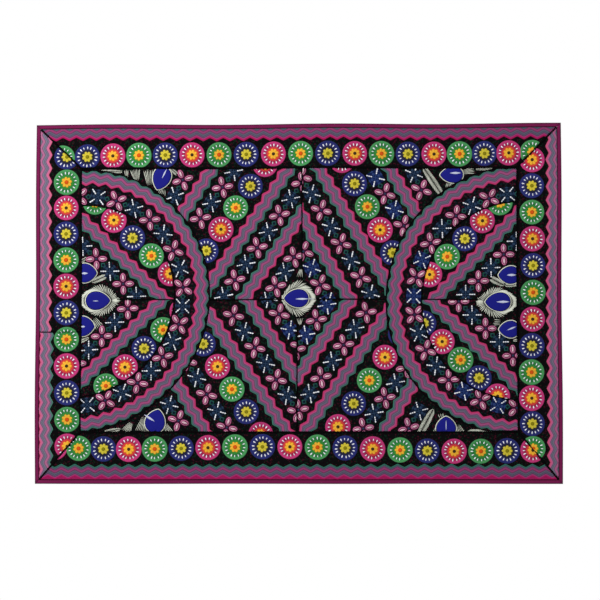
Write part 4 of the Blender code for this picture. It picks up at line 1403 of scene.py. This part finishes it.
# How far apart the bands of a wave texture lie at scale 1
WAVE = 0.314
WAVE_UNEVEN = {"Distortion": 2.5, "Detail": 2.0, "Detail Scale": 1.5}
SHINE = 0.08
DULL = 0.03
CLOTH_ROUGHNESS = 0.82
# Threads: brightness = base + weights of the gaps between stitches, the grain and the own shade
THREAD_BASE = 0.62
THREAD_GAPS = 0.36
THREAD_GRAIN = 0.36
THREAD_SHADE = 0.09
THREAD_DEPTH = 0.00022
THREAD_PITCH = 0.0011
THREAD_ROUGHNESS = 0.62
THREAD_SHEEN = 0.06
MEDALLION_PITCH = 0.0013
MEDALLION_ROUGHNESS = 0.6
GRAIN_SCALE = 420.0
GRAIN_ROUGHNESS = 0.25
GRAIN_SMOOTHER = 0.12
GRAIN_RELIEF = 0.6
BUMP_STRENGTH = 0.8
# Bands: their stripes waver by this share of the width, and a shade takes this much of their colour
STRIPE_WAVER = 0.040
BAND_PITCH = 0.0012
BAND_SHEEN = 0.05
WAVER_SCALE = 260.0
SHADE_DULLING = 0.04
# Grounds: the scales of their stitches and of their grain; brightness = base + weight of the grain
FLECK_SCALE = 300.0
GROUND_SCALE = 500.0
GROUND_BASE = 0.55
GROUND_GRAIN = 0.9
GROUND_ROUGHNESS = 0.92
GROUND_ROUGHER = 0.16
GROUND_DEPTH = 0.0004
# Plain weave: brightness = base + weights of the weave and of slow changes of tone
WEAVE_PITCH = 0.0009
WEAVE_BASE = 0.72
WEAVE_WEIGHT = 0.25
SLOW_SCALE = 28.0
SLOW_WEIGHT = 0.36
WEAVE_ROUGHNESS = 0.74
WEAVE_SMOOTHER = 0.14
WEAVE_DEPTH = 0.00015
WEAVE_STRENGTH = 0.7


def colour(code):
    """A colour written as red, green and blue in hexadecimal, made linear, and evened for the light."""
    parts = [int(code[place : place + 2], 16) / 255 for place in (0, 2, 4)]
    linear = [part / 12.92 if part <= 0.04045 else ((part + 0.055) / 1.055) ** 2.4 for part in parts]
    return tuple(part / LIGHT for part in linear) + (1.0,)


def add(tree, kind, inputs=(), **settings):
    """A node with its settings; each input is a value or the socket that feeds it."""
    made = tree.nodes.new("ShaderNode" + kind)
    for name, value in settings.items():
        setattr(made, name, value)
    for name, value in dict(inputs).items():
        if isinstance(value, bpy.types.NodeSocket):
            tree.links.new(value, made.inputs[name])
        else:
            made.inputs[name].default_value = value
    return made


def blank_material(name, roughness, sheen, shine=SHINE):
    """A plain material, its node tree and its shader.

    Where a relief goes with it, a texture later takes the place of the roughness.
    """
    made = bpy.data.materials.new(name)
    made.use_nodes = True
    shader = made.node_tree.nodes["Principled BSDF"]
    shader.inputs["Roughness"].default_value = roughness
    shader.inputs["Specular IOR Level"].default_value = shine
    shader.inputs["Sheen Weight"].default_value = sheen
    shader.inputs["Sheen Roughness"].default_value = 0.5
    return made, made.node_tree, shader


def mixture(tree, base, *terms):
    """base + the sum of each socket times its weight."""
    value = base
    for socket, weight in terms:
        inputs = {0: socket, 1: weight, 2: value}
        value = add(tree, "Math", inputs, operation="MULTIPLY_ADD").outputs[0]
    return value


def stitch_place(tree):
    """The place within a stitch, a band or a medallion, from the UV map."""
    return add(tree, "UVMap", uv_map="stitches").outputs["UV"]


def noise(tree, scale, detail):
    """Noise by the place on the object."""
    place = add(tree, "TexCoord").outputs["Object"]
    return add(tree, "TexNoise", {"Vector": place, "Scale": scale, "Detail": detail}).outputs["Fac"]


def own_shade(tree):
    """The shade that was given to a stitch, from -1 to 1 and for a few further; on the border's bands it
    is painted light and shade.
    """
    return add(tree, "Attribute", attribute_name="shade").outputs["Fac"]


def dress(tree, shader, paint, value, rough, relief, depth, strength=BUMP_STRENGTH):
    """Feeds a shader with a colour times a brightness, with a roughness and with a relief."""
    dyed = add(tree, "HueSaturation", {"Color": paint, "Value": value}).outputs["Color"]
    tree.links.new(dyed, shader.inputs["Base Color"])
    tree.links.new(rough, shader.inputs["Roughness"])
    bump = add(tree, "Bump", {"Height": relief, "Distance": depth, "Strength": strength}).outputs[0]
    tree.links.new(bump, shader.inputs["Normal"])


def ramp(tree, factor, stops):
    """Colours that run into one another, each at its place from 0 to 1."""
    made = add(tree, "ValToRGB", {"Fac": factor})
    elements = made.color_ramp.elements
    elements.remove(elements[1])
    elements[0].position, elements[0].color = stops[0][0], colour(stops[0][1])
    for place, code in stops[1:]:
        elements.new(place).color = colour(code)
    return made.outputs["Color"]


def stitched(tree, shader, paint, pitch, direction="X"):
    """Threads side by side: a wave across the stitches darkens and dents the gaps between them."""
    inputs = {"Vector": stitch_place(tree), "Scale": WAVE / pitch, **WAVE_UNEVEN}
    wave = add(tree, "TexWave", inputs, bands_direction=direction).outputs["Fac"]
    grain = noise(tree, GRAIN_SCALE, 3.0)
    terms = ((wave, THREAD_GAPS), (grain, THREAD_GRAIN), (own_shade(tree), THREAD_SHADE))
    value = mixture(tree, THREAD_BASE, *terms)
    smooth = shader.inputs["Roughness"].default_value - GRAIN_SMOOTHER
    rough = mixture(tree, smooth, (grain, GRAIN_ROUGHNESS))
    dress(tree, shader, paint, value, rough, mixture(tree, wave, (grain, GRAIN_RELIEF)), THREAD_DEPTH)


def thread(
    name,
    code,
    pitch=THREAD_PITCH,
    direction="X",
    roughness=THREAD_ROUGHNESS,
    sheen=THREAD_SHEEN,
    shine=SHINE,
):
    """Stitches of one colour."""
    made, tree, shader = blank_material(name, roughness, sheen, shine)
    stitched(tree, shader, colour(code), pitch, direction)
    return made


def medallion_thread(name, stops):
    """Colours in rings by the distance from the medallion's middle."""
    made, tree, shader = blank_material(name, MEDALLION_ROUGHNESS, THREAD_SHEEN)
    reach = add(tree, "VectorMath", {0: stitch_place(tree)}, operation="LENGTH").outputs["Value"]
    stitched(tree, shader, ramp(tree, reach, stops), MEDALLION_PITCH / MEDALLION_RADIUS)
    return made


def banded_thread(name, stripes):
    """Stripes along a band, from its teal edge to its pink; its shade paints duller light and purer
    shade.
    """
    made, tree, shader = blank_material(name, THREAD_ROUGHNESS, BAND_SHEEN)
    across = add(tree, "SeparateXYZ", {0: stitch_place(tree)}).outputs["Y"]
    waver = noise(tree, WAVER_SCALE, 1.0)
    across = mixture(tree, -STRIPE_WAVER / 2, (across, 1.0), (waver, STRIPE_WAVER))
    pure = mixture(tree, 1.0, (own_shade(tree), -SHADE_DULLING))
    inputs = {"Color": ramp(tree, across, stripes), "Saturation": pure}
    paint = add(tree, "HueSaturation", inputs).outputs["Color"]
    stitched(tree, shader, paint, BAND_PITCH)
    return made


def ground_thread(name, code, red, green, share):
    """Close dark stitches with faint flecks of red and green."""
    made, tree, shader = blank_material(name, GROUND_ROUGHNESS, 0.0, DULL)
    place = add(tree, "TexCoord").outputs["Object"]
    cells = add(tree, "TexVoronoi", {"Vector": place, "Scale": FLECK_SCALE})
    tone = add(tree, "SeparateXYZ", {0: cells.outputs["Color"]})
    mixed = colour(code)
    for socket, fleck in (("X", red), ("Y", green)):
        inputs = {0: tone.outputs[socket], 1: 1 - share}
        chosen = add(tree, "Math", inputs, operation="GREATER_THAN").outputs[0]
        inputs = {0: chosen, 6: mixed, 7: colour(fleck)}
        mixed = add(tree, "Mix", inputs, data_type="RGBA").outputs[2]
    grain = noise(tree, GROUND_SCALE, 3.0)
    value = mixture(tree, GROUND_BASE, (grain, GROUND_GRAIN))
    relief = mixture(tree, grain, (cells.outputs["Distance"], -1.0))
    rough = mixture(tree, CLOTH_ROUGHNESS, (grain, GROUND_ROUGHER))
    dress(tree, shader, mixed, value, rough, relief, GROUND_DEPTH)
    return made


def woven_cloth(name, code, sheen, edge=None):
    """Plain weave: two crossed waves, with slow changes of tone, and painted shade towards edges if
    given.
    """
    made, tree, shader = blank_material(name, WEAVE_ROUGHNESS, sheen)
    place = add(tree, "TexCoord").outputs["Object"]
    inputs = {"Vector": place, "Scale": WAVE / WEAVE_PITCH}
    warp, weft = (add(tree, "TexWave", inputs, bands_direction=way).outputs["Fac"] for way in "XZ")
    weave = add(tree, "Math", {0: warp, 1: weft}, operation="MULTIPLY").outputs[0]
    slow = noise(tree, SLOW_SCALE, 4.0)
    value = mixture(tree, WEAVE_BASE, (weave, WEAVE_WEIGHT), (slow, SLOW_WEIGHT))
    paint = colour(code)
    # Painted shade: darker round the binding's fold and at its inner edge
    if edge is not None:
        reach = add(tree, "SeparateXYZ", {0: stitch_place(tree)}).outputs["Y"]
        paint = ramp(tree, mixture(tree, 0.0, (reach, 1 / BINDING_WIDTH)), edge)
    rough = mixture(tree, CLOTH_ROUGHNESS, (weave, -WEAVE_SMOOTHER))
    dress(tree, shader, paint, value, rough, weave, WEAVE_DEPTH, WEAVE_STRENGTH)
    return made


# Columns: share of the way across a band or the binding, or out to a medallion's rim; colour
# In a band, the dark green stop at 0 and the maroon stops from 0.97 are painted shadow along its edges
BAND_STRIPES = (
    (0.00, "0A2A1E"), (0.02, "2E6E5C"), (0.08, "3A7C6A"), (0.10, "26343C"),
    (0.13, "54586A"), (0.21, "5E5A70"), (0.24, "4A2040"), (0.27, "9E3E70"),
    (0.34, "904C78"), (0.41, "A04072"), (0.45, "54284A"), (0.48, "5C5C6E"),
    (0.55, "705E78"), (0.59, "465260"), (0.62, "4A5462"), (0.66, "6E5C76"),
    (0.70, "58566A"), (0.73, "4C2244"), (0.76, "9A4A7A"), (0.82, "A64C7E"),
    (0.85, "B42E66"), (0.94, "BC3068"), (0.97, "7A1038"), (1.00, "3A0618"),
)
# Painted shadow round the bands: dark green beside the teal edge, dark maroon beside the pink
BAND_SHADOW_STRIPES = (
    (0.00, "081C12"), (0.12, "0C3020"), (0.45, "0C3020"),
    (0.55, "380A20"), (0.88, "380A20"), (1.00, "20040F"),
)
# Painted shade on the binding, from its fold in: darkest round the fold, darker again at its inner edge
BINDING_PAINTED_SHADE = (
    (0.00, "2C0518"), (0.13, "4A0A2C"), (0.30, "6C1046"), (0.80, "78144A"), (1.00, "480A2C"),
)
GREEN_RINGS = (
    (0.00, "34842C"), (0.48, "34842C"), (0.54, "2A7E34"), (0.60, "26703A"),
    (0.77, "2A763C"), (0.81, "409050"), (0.95, "489458"), (1.00, "1C5430"),
)
PINK_RINGS = (
    (0.00, "D84C30"), (0.46, "D0402C"), (0.54, "BC2C44"), (0.60, "8C1440"),
    (0.76, "A42458"), (0.80, "B83070"), (0.95, "BC3472"), (1.00, "8C144C"),
)
BLUE_RINGS = (
    (0.00, "1C1A2C"), (0.50, "1A1A2E"), (0.60, "20245A"), (0.76, "222868"),
    (0.81, "20266A"), (0.95, "1C2266"), (1.00, "10103C"),
)


def make_threads():
    """The material of each thread."""
    return {
        "green_medallions": medallion_thread("green medallion thread", GREEN_RINGS),
        "pink_medallions": medallion_thread("pink medallion thread", PINK_RINGS),
        "blue_medallions": medallion_thread("blue medallion thread", BLUE_RINGS),
        "band_thread": banded_thread("zigzag band thread", BAND_STRIPES),
        "white_stitches": thread("white thread", "F2F4FA", pitch=0.0009),
        "golden_thread": thread("golden thread", "EEB030", sheen=0.03),
        "lemon_thread": thread("lemon thread", "CEBE36", sheen=0.03),
        "orange_thread": thread("orange thread", "D25208", sheen=0.0),
        "olive_thread": thread("olive thread", "847A04", sheen=0.0),
        "black_thread": thread("black thread", "060506", roughness=0.9, sheen=0.0, shine=DULL),
        "brown_thread": thread("brown thread", "3C2406"),
        # Painted shadow round the bands
        "fringe_thread": banded_thread("painted band shadow", BAND_SHADOW_STRIPES),
        "magenta_thread": thread("magenta thread", "980E54", direction="Y"),
        "wine_thread": thread("wine thread", "440E2E", sheen=0.0, shine=DULL),
        "petal_thread": thread("petal thread", "D47AA4"),
        "blush_thread": thread("blush thread", "FCD6E4"),
        "crimson_thread": thread("crimson thread", "640C36", sheen=0.0),
        "dusk_thread": thread("dusk thread", "0C1728", roughness=0.85, sheen=0.0, shine=DULL),
        "midnight_thread": thread("midnight thread", "101C48", roughness=0.85, sheen=0.0, shine=DULL),
        "navy_thread": thread("navy thread", "1E3450", sheen=0.0),
        "teal_thread": thread("teal thread", "164E46", sheen=0.0),
        "pale_thread": thread("pale blue thread", "C4CAE0", pitch=0.0007),
        "cobalt_thread": thread("cobalt thread", "22386C", sheen=0.0),
        "cream_thread": thread("cream thread", "E2E6D6", pitch=0.0007),
        "royal_blue_thread": thread("royal blue thread", "12157C", pitch=0.0014, sheen=0.0),
        "plum_thread": thread("plum thread", "4C0C34", sheen=0.0),
    }


# The whole


def make_cloth():
    """The nineteen pieces of cloth, each with its slot, its flat size and its area."""
    back = woven_cloth("plain dark backs", "2A2026", 0.0)
    fronts = {
        "embroidered_cloth": ground_thread("black ground", "08080A", "380A1A", "0A2418", 0.10),
        "arch_cloth": ground_thread("arch ground", "0A080C", "400C20", "0A2224", 0.14),
        "border_cloth": ground_thread("border ground", "0A080A", "340818", "082014", 0.10),
    }
    # The binding's tones paint shade round its fold and at its inner edge
    plum = woven_cloth("plum binding", "7A1450", 0.04, BINDING_PAINTED_SHADE)
    made = []
    for node, grid, slot_name in field_grids():
        made.append(cloth_patch(node, grid, slot_name, [fronts[slot_name], back]))
    for node, grid, slot_name in border_grids():
        made.append(cloth_patch(node, grid, slot_name, [fronts[slot_name], back], open_edge=True))
    for node, row in BINDINGS.items():
        made.append(binding_strip(node, *row, plum))
    return made


def embroider():
    """All threads, sewn in this order: the random draws follow it."""
    sew_bands()
    embroider_medallions()
    embroider_strips()
    embroider_eyes()
    sew_seams()
    stitch_binding()
    return sew_piles(make_threads())


def place_camera():
    """Face on, at the distance where the view is VIEW_WIDTH across at the cloth."""
    data = bpy.data.cameras.new("camera")
    data.lens = LENS
    data.sensor_width = SENSOR
    camera = bpy.data.objects.new("camera", data)
    camera.location = (VIEW_X, FRONT_PLANE - VIEW_WIDTH * LENS / SENSOR, VIEW_Z)
    camera.rotation_euler = (math.pi / 2, 0, 0)
    bpy.context.scene.collection.objects.link(camera)
    bpy.context.scene.camera = camera


def light_studio():
    """An even white room with one soft lamp high on the left, and a pale floor."""
    world = bpy.data.worlds.new("room")
    world.use_nodes = True
    background = world.node_tree.nodes["Background"]
    background.inputs["Color"].default_value = WHITE
    background.inputs["Strength"].default_value = ROOM_LIGHT
    bpy.context.scene.world = world
    bpy.context.scene.view_settings.view_transform = "Standard"
    data = bpy.data.lights.new("soft lamp", "AREA")
    data.shape = "DISK"
    data.size = LAMP_SIZE
    data.energy = LAMP_POWER
    lamp = bpy.data.objects.new("soft_lamp", data)
    lamp.location = LAMP_PLACE
    aim = Vector((0.0, 0.0, VIEW_Z)) - lamp.location
    lamp.rotation_euler = aim.to_track_quat("-Z", "Y").to_euler()
    bpy.context.scene.collection.objects.link(lamp)
    mesh = bpy.data.meshes.new("floor")
    rim = [(-FLOOR_SIDE, FLOOR_FRONT), (FLOOR_SIDE, FLOOR_FRONT)]
    rim += [(FLOOR_SIDE, FLOOR_BACK), (-FLOOR_SIDE, FLOOR_BACK)]
    mesh.from_pydata([(x, y, FLOOR_Z) for x, y in rim], [], [(0, 1, 2, 3)])
    floor_paint, _, shader = blank_material("pale floor", FLOOR_ROUGHNESS, 0.0)
    shader.inputs["Base Color"].default_value = FLOOR_TONE
    mesh.materials.append(floor_paint)
    floor = bpy.data.objects.new("floor", mesh)
    bpy.context.scene.collection.objects.link(floor)


def main():
    """The camera, the light, and the cloth with all that is sewn on it."""
    place_camera()
    light_studio()
    cloth = make_cloth()
    sewn = embroider()


main()
